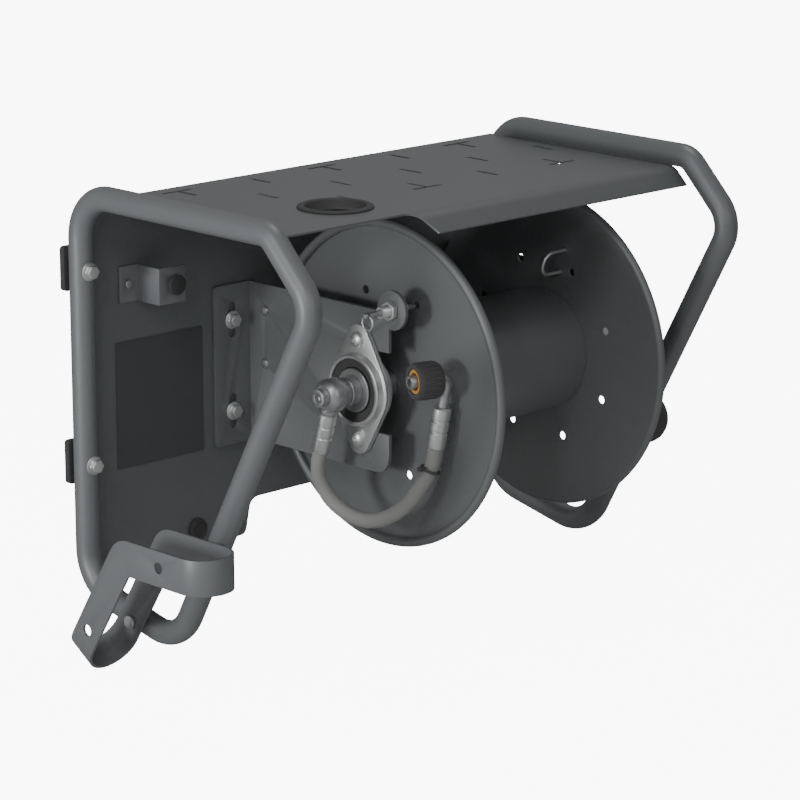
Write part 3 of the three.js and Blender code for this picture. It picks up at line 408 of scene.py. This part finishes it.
def _drilled() -> NodeShape:
    """A body about Z with a ring of round holes through it."""
    shape = NodeShape("DrilledRing", RING_INPUTS)
    drill = shape.node("GeometryNodeMeshCylinder", Vertices=32, Radius=shape.start.outputs["Bore"],
                       Depth=shape.start.outputs["Length"])
    cut = shape.node("GeometryNodeMeshBoolean")
    cut.operation = "DIFFERENCE"
    shape.tree.links.new(shape.start.outputs["Geometry"], cut.inputs["Mesh 1"])
    shape.tree.links.new(_ring_of(shape, drill.outputs["Mesh"]), cut.inputs["Mesh 2"])
    shape.close(cut.outputs["Mesh"])
    return shape


def _ribbed() -> NodeShape:
    """A body about Z with a ring of round ribs along its side."""
    shape = NodeShape("RibbedGrip", RING_INPUTS)
    rib = shape.node("GeometryNodeMeshCylinder", Vertices=12, Radius=shape.start.outputs["Bore"],
                     Depth=shape.start.outputs["Length"])
    both = shape.node("GeometryNodeJoinGeometry")
    shape.tree.links.new(shape.start.outputs["Geometry"], both.inputs[0])
    shape.tree.links.new(_ring_of(shape, rib.outputs["Mesh"]), both.inputs[0])
    shape.close(both.outputs[0])
    return shape


# ------------------------------------------------------------------ mesh helpers
def _shown(name: str, data: bpy.types.Mesh) -> bpy.types.Object:
    """Links a mesh as an object at the origin."""
    made = bpy.data.objects.new(name, data)
    bpy.context.scene.collection.objects.link(made)
    return made


def _smooth(data: bpy.types.Mesh, degrees: float = 34.0) -> None:
    """Smooth shading that keeps edges sharper than an angle."""
    data.shade_smooth()
    data.set_sharp_from_angle(angle=math.radians(degrees))


def _pose(origin: Vector, axis: Vector) -> Matrix:
    """Local Z to the axis; for the X axis, local X goes to +Y and local Y to +Z."""
    if axis.x > 0.999:
        basis = Matrix(((0, 0, 1), (1, 0, 0), (0, 1, 0)))
    else:
        basis = axis.to_track_quat("Z", "Y").to_matrix()
    return Matrix.Translation(origin) @ basis.to_4x4()


def _turned_mesh(name: str, profile: Profile, segments: int = 72) -> bpy.types.Mesh:
    """A body turned about Z from (radius, height) pairs in millimetres.

    Args:
        name: The mesh's name.
        profile: The outline. It starts and ends on the axis, or else it closes on itself.
        segments: Steps in a full turn.

    Returns:
        A closed mesh.
    """
    build = bmesh.new()
    rings: list[list[bmesh.types.BMVert]] = []
    for radius, height in profile:
        steps = 1 if radius < 1e-6 else segments
        rings.append([
            build.verts.new((radius * MM * math.cos(2 * math.pi * k / steps),
                             radius * MM * math.sin(2 * math.pi * k / steps), height * MM))
            for k in range(steps)])
    pairs = list(zip(rings, rings[1:]))
    if len(rings[0]) > 1:
        pairs.append((rings[-1], rings[0]))
    for low, high in pairs:
        for k in range(segments):
            corners = [low[k % len(low)], low[(k + 1) % len(low)],
                       high[(k + 1) % len(high)], high[k % len(high)]]
            unique = list(dict.fromkeys(corners))
            if len(unique) > 2:
                build.faces.new(unique)
    bmesh.ops.recalc_face_normals(build, faces=build.faces)
    data = bpy.data.meshes.new(name)
    build.to_mesh(data)
    build.free()
    return data


def _merged(name: str, parts: Sequence[bpy.types.Mesh]) -> bpy.types.Mesh:
    """One mesh that holds several closed shells."""
    build = bmesh.new()
    for part in parts:
        build.from_mesh(part)
    data = bpy.data.meshes.new(name)
    build.to_mesh(data)
    build.free()
    return data


def _bevelled(made: bpy.types.Object, width: float, segments: int = 2) -> bpy.types.Object:
    """Rounds an object's sharp edges and applies the change."""
    modifier = made.modifiers.new("edge", "BEVEL")
    modifier.width = width
    modifier.segments = segments
    modifier.limit_method = "ANGLE"
    modifier.angle_limit = math.radians(40)
    bpy.context.view_layer.update()
    graph = bpy.context.evaluated_depsgraph_get()
    data = bpy.data.meshes.new_from_object(made.evaluated_get(graph))
    made.modifiers.clear()
    made.data = data
    return made


def _commit(made: bpy.types.Object, body: Body, finish: Finish, *nodes: str) -> bpy.types.Object:
    """Finishes a piece: material, shading, the body it rides on and the nodes it stands for."""
    made.data.materials.clear()
    made.data.materials.append(finish.material())
    _smooth(made.data)
    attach(made, body.value)
    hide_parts(*nodes)
    return made


def _turned(node: str, profile: Profile, origin: Vector, axis: Vector, body: Body, finish: Finish,
            segments: int = 72) -> bpy.types.Object:
    """A turned piece that stands for one CAD node."""
    data = _turned_mesh(node, profile, segments)
    data.transform(_pose(origin, axis))
    return _commit(_shown(node + "_fine", data), body, finish, node)


def _line(points: Sequence[Vector], closed: bool) -> bpy.types.Curve:
    """A poly curve through points."""
    data = bpy.data.curves.new("route", "CURVE")
    data.dimensions = "3D"
    spline = data.splines.new("POLY")
    spline.points.add(len(points) - 1)
    for slot, point in zip(spline.points, points):
        slot.co = (*point, 1.0)
    spline.use_cyclic_u = closed
    return data


def _bent(corners: Sequence[Vector], radii: Sequence[float], closed: bool, steps: int = 14) -> list[Vector]:
    """Points along straight runs that are joined by arcs.

    Args:
        corners: The corners of the line.
        radii: The bend radius at each corner.
        closed: Whether the last corner joins the first.
        steps: Arc steps in each bend.

    Returns:
        The stations in order.
    """
    found: list[Vector] = []
    for index, corner in enumerate(corners):
        if not closed and index in (0, len(corners) - 1):
            found.append(corner.copy())
            continue
        inward = (corners[index - 1] - corner).normalized()
        outward = (corners[(index + 1) % len(corners)] - corner).normalized()
        half = inward.angle(outward) / 2
        middle = corner + (inward + outward).normalized() * (radii[index] / math.sin(half))
        start = corner + inward * (radii[index] / math.tan(half)) - middle
        axle = outward.cross(inward).normalized()
        sweep = math.pi - 2 * half
        found += [Matrix.Rotation(sweep * k / steps, 3, axle) @ start + middle for k in range(steps + 1)]
    return found


# ------------------------------------------------------------------ sub-assemblies
@dataclass
class SideFrames:
    """The two bent tube loops with their pads and wall bolts."""

    tube: NodeShape
    corners: tuple[tuple[float, float], ...] = (
        (-0.020, 0.078), (-0.305, 0.078), (-0.367, 0.015), (-0.163, -0.359), (-0.020, -0.328))
    bends: tuple[float, ...] = (0.045, 0.025, 0.035, 0.048, 0.048)
    bolt_rows: dict[str, float] = field(default_factory=lambda: {"upper": 0.0, "lower": -0.201})

    def build(self) -> None:
        """Makes both loops, then the fixings behind them."""
        for side in SIDES:
            x = SIGN[side] * FRAME_X
            route = _bent([Vector((x, y, z)) for y, z in self.corners], self.bends, True)
            loop = self.tube.run(f"side_frame_{side}_fine", _line(route, True), FRAME_PAINT,
                                 Radius=TUBE_RADIUS, Sides=48)
            _commit(loop, Body.BRACKET, FRAME_PAINT, f"side_frame_{side}")
            for level, z in self.bolt_rows.items():
                refined(f"wall_pad_{level}_{side}", Body.BRACKET, RUBBER, 0.3 * MM)
                seat = Vector((x, self.corners[0][0] - TUBE_RADIUS, z))
                flange_bolt(f"wall_bolt_{level}_{side}", seat, 39.0)


def flange_bolt(node: str, seat: Vector, length: float) -> bpy.types.Object:
    """A hex flange bolt whose head looks towards -Y.

    Args:
        node: The CAD node it stands for.
        seat: The point where the flange meets the work.
        length: The shank's length in millimetres.

    Returns:
        The finished bolt.
    """
    flange = _turned_mesh(node, [(0, 0.3), (9.8, 0.3), (10, 0.8), (7.9, 2.0), (0, 2.2)], 48)
    head = _turned_mesh(node, [(0, 1.5), (7.4, 1.5), (7.4, 7.2), (6.3, 8.0), (0, 8.0)], 6)
    end = 0.5 - min(length, SHANK_SHOWN)
    shank = _turned_mesh(node, [(0, 0.5), (3.9, 0.5), (3.9, end), (0, end)], 24)
    data = _merged(node, [flange, head, shank])
    data.transform(_pose(seat, Vector((0, -1, 0))))
    made = _bevelled(_shown(node + "_fine", data), 0.3 * MM)
    return _commit(made, Body.BRACKET, ZINC, node)


def refined(node: str, body: Body, finish: Finish, edge: float = 0.35 * MM) -> bpy.types.Object:
    """A copy of a CAD node with rounded edges and smooth shading.

    Args:
        node: The CAD node.
        body: The body it rides on.
        finish: Its finish.
        edge: Width of the rounded edges.

    Returns:
        The finished piece.
    """
    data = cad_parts[node].data.copy()
    build = bmesh.new()
    build.from_mesh(data)
    bmesh.ops.remove_doubles(build, verts=build.verts, dist=1e-6)
    bmesh.ops.dissolve_limit(build, angle_limit=math.radians(1.0), verts=build.verts, edges=build.edges)
    bmesh.ops.recalc_face_normals(build, faces=build.faces)
    build.to_mesh(data)
    build.free()
    made = _shown(node + "_fine", data)
    if edge > 0:
        made = _bevelled(made, edge)
    return _commit(made, body, finish, node)


@dataclass
class PanelAndShelf:
    """The bent sheet with what is fixed to it."""

    def build(self) -> None:
        """Makes the sheet, the ring in its round hole, the label, the clip and the plugs."""
        refined("panel_and_shelf", Body.BRACKET, SHEET_PAINT, 0.0)
        ring = [(30.7, -7), (33.7, -7), (33.7, 1.3), (38.5, 1.3), (38.7, 2.0), (38.0, 3.0), (36.0, 3.8),
                (33.0, 3.9), (31.4, 3.2), (30.7, 2.0)]
        _turned("shelf_hole_ring", ring, Vector((-0.127, -0.213, 0.067)), Vector((0, 0, 1)),
                Body.BRACKET, PLASTIC, 96)
        refined("info_label", Body.BRACKET, LABEL, 0.1 * MM)
        refined("clip_bracket", Body.BRACKET, FRAME_PAINT)
        refined("clip_plug", Body.BRACKET, RUBBER, 1.0 * MM)
        refined("clip_rivet", Body.BRACKET, STEEL, 0.6 * MM)
        plug = [(0, 0), (12, 0), (12, 2.0), (11, 3.8), (8.5, 5.0), (7.5, 4.2), (0, 4.2)]
        _turned("panel_plug", plug, Vector((-0.144, -0.0133, -0.303)), Vector((0, -1, 0)),
                Body.BRACKET, RUBBER, 48)


@dataclass
class ReelArm:
    """One arm plate with its bolts and its two-bolt bearing."""

    side: str

    def build(self) -> None:
        """Makes the plate, its fixings and the bearing."""
        refined(f"reel_arm_{self.side}", Body.BRACKET, REEL_PAINT, 0.5 * MM)
        slot_x = ARM_OUTER[self.side] + SIGN[self.side] * 0.0245
        for level, z in (("upper", -0.084), ("lower", -0.1825)):
            flange_bolt(f"arm_bolt_{level}_{self.side}", Vector((slot_x, -0.0168, z)), 14.0)
        if self.side == "left":
            for level, z in (("upper", -0.074), ("lower", -0.131)):
                seat = Vector((ARM_OUTER["left"] - 0.0003, -0.041, z))
                dome = [(0, -4), (3, -4), (3, 0), (5.5, 0), (5.3, 1.3), (4.2, 2.5), (2.0, 3.0), (0, 3.1)]
                _turned(f"arm_screw_{level}", dome, seat, Vector((-1, 0, 0)), Body.BRACKET, STEEL, 32)
        self._bearing()

    def _plate(self, node: str, near: float, outward: float) -> None:
        """A pressed flange plate: a diamond outline with a raised ring.

        Args:
            node: The CAD node it stands for.
            near: The X of the plate's mating face.
            outward: The X direction in which the ring stands out.
        """
        steps, pitch, nose, waist, bore = 120, 52.0, 16.0, 42.0, 33.0
        build = bmesh.new()
        rows: list[list[bmesh.types.BMVert]] = []
        flat = math.asin((waist - nose) / pitch)
        for radius_of, height in (("bore", 0.0), ("edge", 0.0), ("edge", 3.0), ("foot", 3.0), ("lip", 10.0),
                                  ("top", 11.0), ("bore", 11.0)):
            row = []
            for k in range(steps):
                turn = 2 * math.pi * k / steps
                lift = abs(math.sin(turn))
                fixed = {"bore": bore, "foot": 38.5, "lip": 37.0, "top": 35.8}
                if radius_of == "edge":
                    angle = math.asin(lift)
                    reach = waist if angle < flat else min(
                        waist / max(math.cos(angle - flat), 1e-3), self._nose(angle, pitch, nose))
                else:
                    reach = fixed[radius_of]
                point = (reach * math.cos(turn) * MM, reach * math.sin(turn) * MM, height * MM)
                row.append(build.verts.new(point))
            rows.append(row)
        for low, high in zip(rows, rows[1:] + rows[:1]):
            for k in range(steps):
                build.faces.new((low[k], low[(k + 1) % steps], high[(k + 1) % steps], high[k]))
        bmesh.ops.recalc_face_normals(build, faces=build.faces)
        data = bpy.data.meshes.new(node)
        build.to_mesh(data)
        build.free()
        data.transform(_pose(Vector((near, AXIS.y, AXIS.z)), Vector((1, 0, 0)))
                       @ Matrix.Scale(outward, 4, Vector((0, 0, 1))))
        if outward < 0:
            data.flip_normals()
        made = _bevelled(_shown(node + "_fine", data), 0.5 * MM)
        _commit(made, Body.BRACKET, ZINC, node)

    @staticmethod
    def _nose(angle: float, pitch: float, nose: float) -> float:
        """Distance from the centre to the rounded end, along an angle."""
        across = pitch * math.cos(angle)
        if across >= nose:
            return math.inf
        return pitch * math.sin(angle) + math.sqrt(nose ** 2 - across ** 2)

    def _bearing(self) -> None:
        """The two plates, the seal, the collar and the bolts."""
        sign = SIGN[self.side]
        face = ARM_OUTER[self.side]
        self._plate(f"bearing_plate_inner_{self.side}", face + sign * 0.0033, -sign)
        self._plate(f"bearing_plate_outer_{self.side}", face + sign * 0.0036, sign)
        middle = Vector((face + sign * 0.0033, AXIS.y, AXIS.z))
        out = Vector((sign, 0, 0))
        seal = [(24, -8), (32.7, -8), (32.7, 8), (30.5, 8.6), (27, 7.4), (24, 8)]
        _turned(f"bearing_seal_{self.side}", seal, middle, out, Body.BRACKET, RUBBER)
        collar = [(15.3, -11), (22, -11), (23, -10), (23, 10), (22, 11), (15.3, 11)]
        _turned(f"bearing_collar_{self.side}", collar, middle, out, Body.REEL, STEEL)
        for level, lift in (("upper", 0.052), ("lower", -0.052)):
            seat = Vector((face + sign * 0.0069, AXIS.y, AXIS.z + lift))
            dome = [(0, -18), (4, -18), (4, 0), (8.5, 0), (8.5, 0.8), (7.6, 3.2), (5, 5), (3.0, 5.4),
                    (2.6, 3.0), (0, 3.0)]
            _turned(f"bearing_bolt_{level}_{self.side}", dome, seat, out, Body.BRACKET, ZINC, 48)


@dataclass
class Reel:
    """The discs, the drum, the axle, the hose retainer and the crank."""

    tube: NodeShape
    drill: NodeShape
    bead: float = 5.0
    sheet: float = 1.0

    def build(self) -> None:
        """Makes every piece that turns with the axle."""
        for side in SIDES:
            self._disc(side)
        drum = [(64, -112.7), (66, -112.7), (66, 112.7), (64, 112.7)]
        _turned("reel_drum", drum, Vector((0.0804, AXIS.y, AXIS.z)), Vector((1, 0, 0)),
                Body.REEL, REEL_PAINT, 128)
        axle = [(0, -95.6), (14.2, -95.6), (15, -94.8), (15, 315.7), (10, 315.7), (10, 322.3), (14, 322.3),
                (14, 327.3), (9, 330.3), (0, 330.3)]
        _turned("reel_axle", axle, Vector((0, AXIS.y, AXIS.z)), Vector((1, 0, 0)), Body.REEL, STEEL)
        self._retainer()
        self._crank()

    def _disc(self, side: str) -> None:
        """A disc about the X axis, its rim rolled away from the drum."""
        rim = DISC_RADIUS * 1000 - self.bead
        outline = [(15.3, -self.sheet), (rim, -self.sheet)]
        outline += [(rim + self.bead * math.sin(a), -self.sheet + self.bead * (1 - math.cos(a)))
                    for a in (math.pi * 1.36 * k / 12 for k in range(1, 13))]
        outline += [(rim - self.bead + 0.6, self.sheet), (15.3, self.sheet)]
        made = self.drill.run(f"reel_disc_{side}_fine", _turned_mesh(side, outline, 160), REEL_PAINT,
                              Count=8, Circle=0.098, Phase=math.radians(116), Bore=0.0045, Length=0.02)
        flip = Matrix.Scale(SIGN[side], 4, Vector((0, 0, 1)))
        made.data.transform(_pose(Vector((DISC_X[side], AXIS.y, AXIS.z)), Vector((1, 0, 0))) @ flip)
        if SIGN[side] < 0:
            made.data.flip_normals()
        _commit(made, Body.REEL, REEL_PAINT, f"reel_disc_{side}")

    def _retainer(self) -> None:
        """The bent wire that holds the end of the hose."""
        face = DISC_X["right"] - 0.0013
        foot = math.radians(107)
        legs = [AXIS + Vector((0, r * math.cos(foot), r * math.sin(foot))) for r in (0.116, 0.090)]
        reach = face - 0.03
        corners = [Vector((x, leg.y, leg.z))
                   for leg, xs in zip(legs, ((face, reach), (reach, face))) for x in xs]
        route = _line(_bent(corners, (0, 0.012, 0.012, 0), False), False)
        wire = self.tube.run("hose_retainer_wire_fine", route, ZINC, Radius=0.002, Sides=20)
        _commit(wire, Body.REEL, ZINC, "hose_retainer_wire")

    def _crank(self) -> None:
        """The crank bar, its pin and the turning grip."""
        refined("crank_arm", Body.REEL, REEL_PAINT, 0.6 * MM)
        hub = Vector((0, AXIS.y, AXIS.z - 0.108))
        pin = [(0, 312), (8, 312), (8, 315.7), (5, 315.7), (5, 378), (9, 378), (8.4, 380), (0, 380.5)]
        _turned("crank_pin", pin, hub, Vector((1, 0, 0)), Body.REEL, ZINC, 40)
        grip = [(5.3, 323), (16, 323), (17.5, 324), (18.5, 328), (22, 334), (26, 340), (28.4, 346),
                (29, 351), (29, 360), (28, 366), (25, 371.5), (20, 375.5), (15, 377), (5.3, 377)]
        _turned("crank_grip", grip, hub, Vector((1, 0, 0)), Body.GRIP, PLASTIC)


@dataclass
class LockPin:
    """The spring plunger that locks the reel."""

    at: Vector = field(default_factory=lambda: AXIS + Vector(
        (0, 0.098 * math.cos(math.radians(116)), 0.098 * math.sin(math.radians(116)))))

    def build(self) -> None:
        """Makes the threaded barrel, its nut, the plunger and the pull ring."""
        face = -69.6
        line = Vector((0, self.at.y, self.at.z))
        thread = [(3.4, face - 16)]
        thread += [(5.3 if k % 2 else 6.0, face - 16 + k * 0.75) for k in range(20)]
        thread += [(6, face), (6, face + 18), (3.4, face + 18)]
        _turned("lock_barrel", thread, line, Vector((1, 0, 0)), Body.BRACKET, ZINC, 40)
        refined("lock_nut", Body.BRACKET, ZINC, 0.5 * MM)
        refined("lock_plunger", Body.PIN, STEEL, 0.25 * MM)
        ring = [(7.5 + math.cos(a), math.sin(a)) for a in (2 * math.pi * k / 16 for k in range(16))]
        centre = Vector(((face - 33) * MM, self.at.y, self.at.z - 0.0075))
        _turned("lock_pull_ring", ring, centre, Vector((1, 0, 0)), Body.PIN, ZINC, 64)


@dataclass
class JumperHose:
    """The short hose from the swivel to the coupling nut."""

    tube: NodeShape
    ribs: NodeShape
    diameter: float = 0.0155
    route: tuple[tuple[float, float, float], ...] = (
        (-0.112, -0.1722, -0.1931), (-0.112, -0.1685, -0.2066), (-0.1096, -0.1666, -0.220),
        (-0.105, -0.1684, -0.2335), (-0.1005, -0.175, -0.246), (-0.095, -0.1865, -0.2563),
        (-0.0895, -0.201, -0.2626), (-0.084, -0.217, -0.2636), (-0.0785, -0.2325, -0.2586),
        (-0.073, -0.2465, -0.2492), (-0.0675, -0.258, -0.237), (-0.0625, -0.2668, -0.2226),
        (-0.057, -0.2738, -0.208), (-0.0538, -0.2777, -0.1931), (-0.053, -0.280, -0.1798))
    drop: Vector = field(default_factory=lambda: Vector((0, 0.275, -0.961)).normalized())
    rise: Vector = field(default_factory=lambda: Vector((0.06, -0.17, 0.984)).normalized())
    nut_axis: Vector = field(default_factory=lambda: Vector((-0.958, 0.284, 0)).normalized())

    def _centreline(self, per_span: int = 6) -> list[Vector]:
        """A smooth line through the route points."""
        points = [Vector(p) for p in self.route]
        points = [2 * points[0] - points[1], *points, 2 * points[-1] - points[-2]]
        found: list[Vector] = []
        for a, b, c, d in zip(points, points[1:], points[2:], points[3:]):
            for k in range(per_span):
                t = k / per_span
                found.append(0.5 * (2 * b + (c - a) * t + (2 * a - 5 * b + 4 * c - d) * t ** 2
                                    + (3 * b - a - 3 * c + d) * t ** 3))
        return [*found, points[-2]]

    def build(self) -> None:
        """Makes the swivel, the hose, its ferrules, the elbow and the coupling nut."""
        hub = Vector((0, AXIS.y, AXIS.z))
        self._swivel(hub)
        swivel_end = Vector((-0.112, AXIS.y, AXIS.z)) + self.drop * 0.0203
        crimp = [(0, 0), (7.6, 0), (9.2, 1.5), (9.5, 4), (9.5, 12), (8.7, 13), (8.7, 15), (9.5, 16),
                 (9.5, 24), (8.7, 25), (8.7, 27), (9.5, 28), (9.5, 41), (9.0, 43.6), (0, 44)]
        _turned("ferrule_swivel_end", crimp, swivel_end, self.drop, Body.BRACKET, ZINC, 48)
        line = self._centreline()
        hose = self.tube.run("jumper_hose_fine", _line(line, False), HOSE,
                             Radius=self.diameter / 2, Sides=32)
        _commit(hose, Body.BRACKET, HOSE, "jumper_hose")
        upper = [(r, 44 - d) for r, d in reversed(crimp)]
        last = line[-1] + self.rise * 0.0003
        far = _turned("ferrule_nut_end", upper, last, self.rise, Body.BRACKET, ZINC, 48)
        pieces = [far, *self._coupling(last + self.rise * 0.0443), self._tie()]

    def _swivel(self, hub: Vector) -> None:
        """The swivel on the axle's end, with its hose neck and its plug."""
        body = _turned_mesh("swivel", [(0, -124), (12, -124), (16, -121), (17.5, -118), (17.5, -107),
                                       (16.8, -105), (14, -103), (14, -95.9), (0, -95.9)], 64)
        body.transform(_pose(hub, Vector((1, 0, 0))))
        neck = _turned_mesh("neck", [(0, 4), (9.6, 4), (9.6, 17), (10, 17.4), (9.6, 20), (0, 20)], 48)
        neck.transform(_pose(Vector((-0.112, AXIS.y, AXIS.z)), self.drop))
        made = _shown("swivel_body_fine", _merged("swivel_body", [body, neck]))
        _commit(made, Body.BRACKET, STEEL, "swivel_body")
        refined("swivel_plug", Body.BRACKET, STEEL, 0.6 * MM)

    def _coupling(self, top: Vector) -> list[bpy.types.Object]:
        """The elbow, the ribbed hand nut and its coloured insert."""
        corner = top + self.rise * 0.031
        reach = corner + self.nut_axis * 0.032
        route = _line(_bent([top, corner, reach], (0, 0.008, 0), False), False)
        pipe = self.tube.run("elbow_pipe_run", route, STEEL, Radius=0.0055, Sides=24)
        tip = _turned_mesh("tip", [(0, 25), (6.6, 25), (7.2, 26), (7.2, 43), (6.6, 44), (4, 44),
                                   (4, 36), (0, 36)], 40)
        tip.transform(_pose(corner, self.nut_axis))
        elbow = _shown("elbow_pipe_fine", _merged("elbow_pipe", [pipe.data, tip]))
        bpy.data.objects.remove(pipe)
        _commit(elbow, Body.BRACKET, STEEL, "elbow_pipe")
        middle = 25.5  # millimetres from the elbow's corner to the middle of the nut
        profile = [(5.8, 10), (14, 10), (17.3, 12), (18.4, 14), (18.4, 37), (17.6, 39), (13, 39),
                   (13, 17), (5.8, 17)]
        shell = _turned_mesh("nut", [(r, h - middle) for r, h in profile])
        nut = self.ribs.run("hand_nut_fine", shell, PLASTIC,
                            Count=20, Circle=0.018, Phase=0.0, Bore=0.0014, Length=0.020)
        nut.data.transform(_pose(corner + self.nut_axis * (middle * MM), self.nut_axis))
        _commit(nut, Body.NUT, PLASTIC, "hand_nut")
        insert = [(9, 18), (12.7, 18), (12.7, 37.4), (12.2, 38), (9.4, 38), (9, 37.6)]
        liner = _turned("nut_insert", insert, corner, self.nut_axis, Body.NUT, ORANGE, 48)
        return [elbow, nut, liner]

    def _tie(self) -> bpy.types.Object:
        """The cable tie round the hose."""
        return refined("zip_tie", Body.BRACKET, PLASTIC, 0.3 * MM)


@dataclass
class LanceHolder:
    """The bent strip loop that carries the lance."""

    def build(self) -> None:
        """Makes the strip and its bolt."""
        refined("lance_holder", Body.BRACKET, FRAME_PAINT, 0.5 * MM)
        refined("holder_bolt", Body.BRACKET, ZINC, 0.6 * MM)


# ------------------------------------------------------------------ studio
@dataclass
class Studio:
    """The camera, the floor and the lights."""

    location: Vector = field(default_factory=lambda: Vector((-2.4073, -2.6885, 0.7291)))
    azimuth: float = 44.01
    pitch: float = 14.31
    lens: float = 155.43
    shift: float = -0.02
    floor_height: float = -0.40
    floor_glow: float = 9.0
    shown_white: float = 7.0
    soft_light: float = 0.06
    glossy_light: float = 0.34

    def camera(self) -> None:
        """Makes the camera at the viewing angle."""
        data = bpy.data.cameras.new("camera")
        data.lens = self.lens
        data.sensor_width = 36.0
        data.shift_x = self.shift
        data.clip_end = 50.0
        made = bpy.data.objects.new("camera", data)
        made.location = self.location
        made.rotation_euler = (math.radians(90 - self.pitch), 0.0, math.radians(-self.azimuth))
        bpy.context.scene.collection.objects.link(made)
        bpy.context.scene.camera = made

    def build(self) -> None:
        """Makes the floor, the surrounding light and the lamps."""
        plane = _turned_mesh("floor", [(0, -2.0), (6000, -2.0), (6000, 0), (0, 0)], 96)
        plane.transform(Matrix.Translation(Vector((0, 0, self.floor_height))))
        floor = _shown("floor", plane)
        paint = bpy.data.materials.new("floor")
        paint.use_nodes = True
        shader = paint.node_tree.nodes["Principled BSDF"]
        shader.inputs["Base Color"].default_value = (0.95, 0.95, 0.95, 1.0)
        shader.inputs["Roughness"].default_value = 1.0
        shader.inputs["Emission Color"].default_value = (1.0, 1.0, 1.0, 1.0)
        seen = paint.node_tree.nodes.new("ShaderNodeLightPath")
        glow = _math(paint.node_tree, "MULTIPLY", seen.outputs["Is Camera Ray"], self.floor_glow)
        glow.node.use_clamp = False
        paint.node_tree.links.new(glow, shader.inputs["Emission Strength"])
        floor.data.materials.append(paint)
        self._surround()
        self._lamp("key", Vector((-1.9, -0.9, 1.5)), 0.8, 9.0)
        self._lamp("side", Vector((-2.3, -0.1, 0.1)), 0.4, 13.0)
        self._lamp("front", Vector((-0.6, -2.6, 0.9)), 0.7, 3.5)
        self._lamp("rim", Vector((0.6, -0.1, 1.9)), 0.7, 6.0)
        self._lamp("spark", Vector((-2.6, -1.9, 1.0)), 0.22, 5.0)

    def _surround(self) -> None:
        """A white surround that lights the object less than it shows."""
        world = bpy.data.worlds.new("world")
        world.use_nodes = True
        tree = world.node_tree
        shown = tree.nodes["Background"]
        shown.inputs["Color"].default_value = (1.0, 1.0, 1.0, 1.0)
        shown.inputs["Strength"].default_value = self.shown_white
        soft = tree.nodes.new("ShaderNodeBackground")
        soft.inputs["Color"].default_value = (1.0, 1.0, 1.0, 1.0)
        soft.inputs["Strength"].default_value = self.soft_light
        seen = tree.nodes.new("ShaderNodeLightPath")
        blend = tree.nodes.new("ShaderNodeMixShader")
        tree.links.new(seen.outputs["Is Camera Ray"], blend.inputs[0])
        glossy = tree.nodes.new("ShaderNodeBackground")
        glossy.inputs["Color"].default_value = (1.0, 1.0, 1.0, 1.0)
        glossy.inputs["Strength"].default_value = self.glossy_light
        unseen = tree.nodes.new("ShaderNodeMixShader")
        tree.links.new(seen.outputs["Is Glossy Ray"], unseen.inputs[0])
        tree.links.new(soft.outputs[0], unseen.inputs[1])
        tree.links.new(glossy.outputs[0], unseen.inputs[2])
        tree.links.new(unseen.outputs[0], blend.inputs[1])
        tree.links.new(shown.outputs[0], blend.inputs[2])
        tree.links.new(blend.outputs[0], tree.nodes["World Output"].inputs[0])
        bpy.context.scene.world = world

    def _lamp(self, name: str, place: Vector, size: float, power: float) -> None:
        """An area lamp that looks at the object's middle."""
        data = bpy.data.lights.new(name, "AREA")
        data.shape = "SQUARE"
        data.size = size
        data.energy = power
        made = bpy.data.objects.new(name, data)
        made.location = place
        made.rotation_euler = (Vector((0, -0.17, -0.12)) - place).to_track_quat("-Z", "Y").to_euler()
        bpy.context.scene.collection.objects.link(made)


def main() -> None:
    """Builds the studio and every sub-assembly in order."""
    logging.basicConfig(level=logging.INFO)
    studio = Studio()
    studio.camera()
    tube, drill, ribs = _swept_tube(), _drilled(), _ribbed()
    assemblies = [JumperHose(tube, ribs), SideFrames(tube), PanelAndShelf(), ReelArm("left"),
                  ReelArm("right"), Reel(tube, drill), LockPin(), LanceHolder(), studio]
    for assembly in assemblies:
        assembly.build()
        log.info("built %s", type(assembly).__name__)


if __name__ == "__main__":
    main()
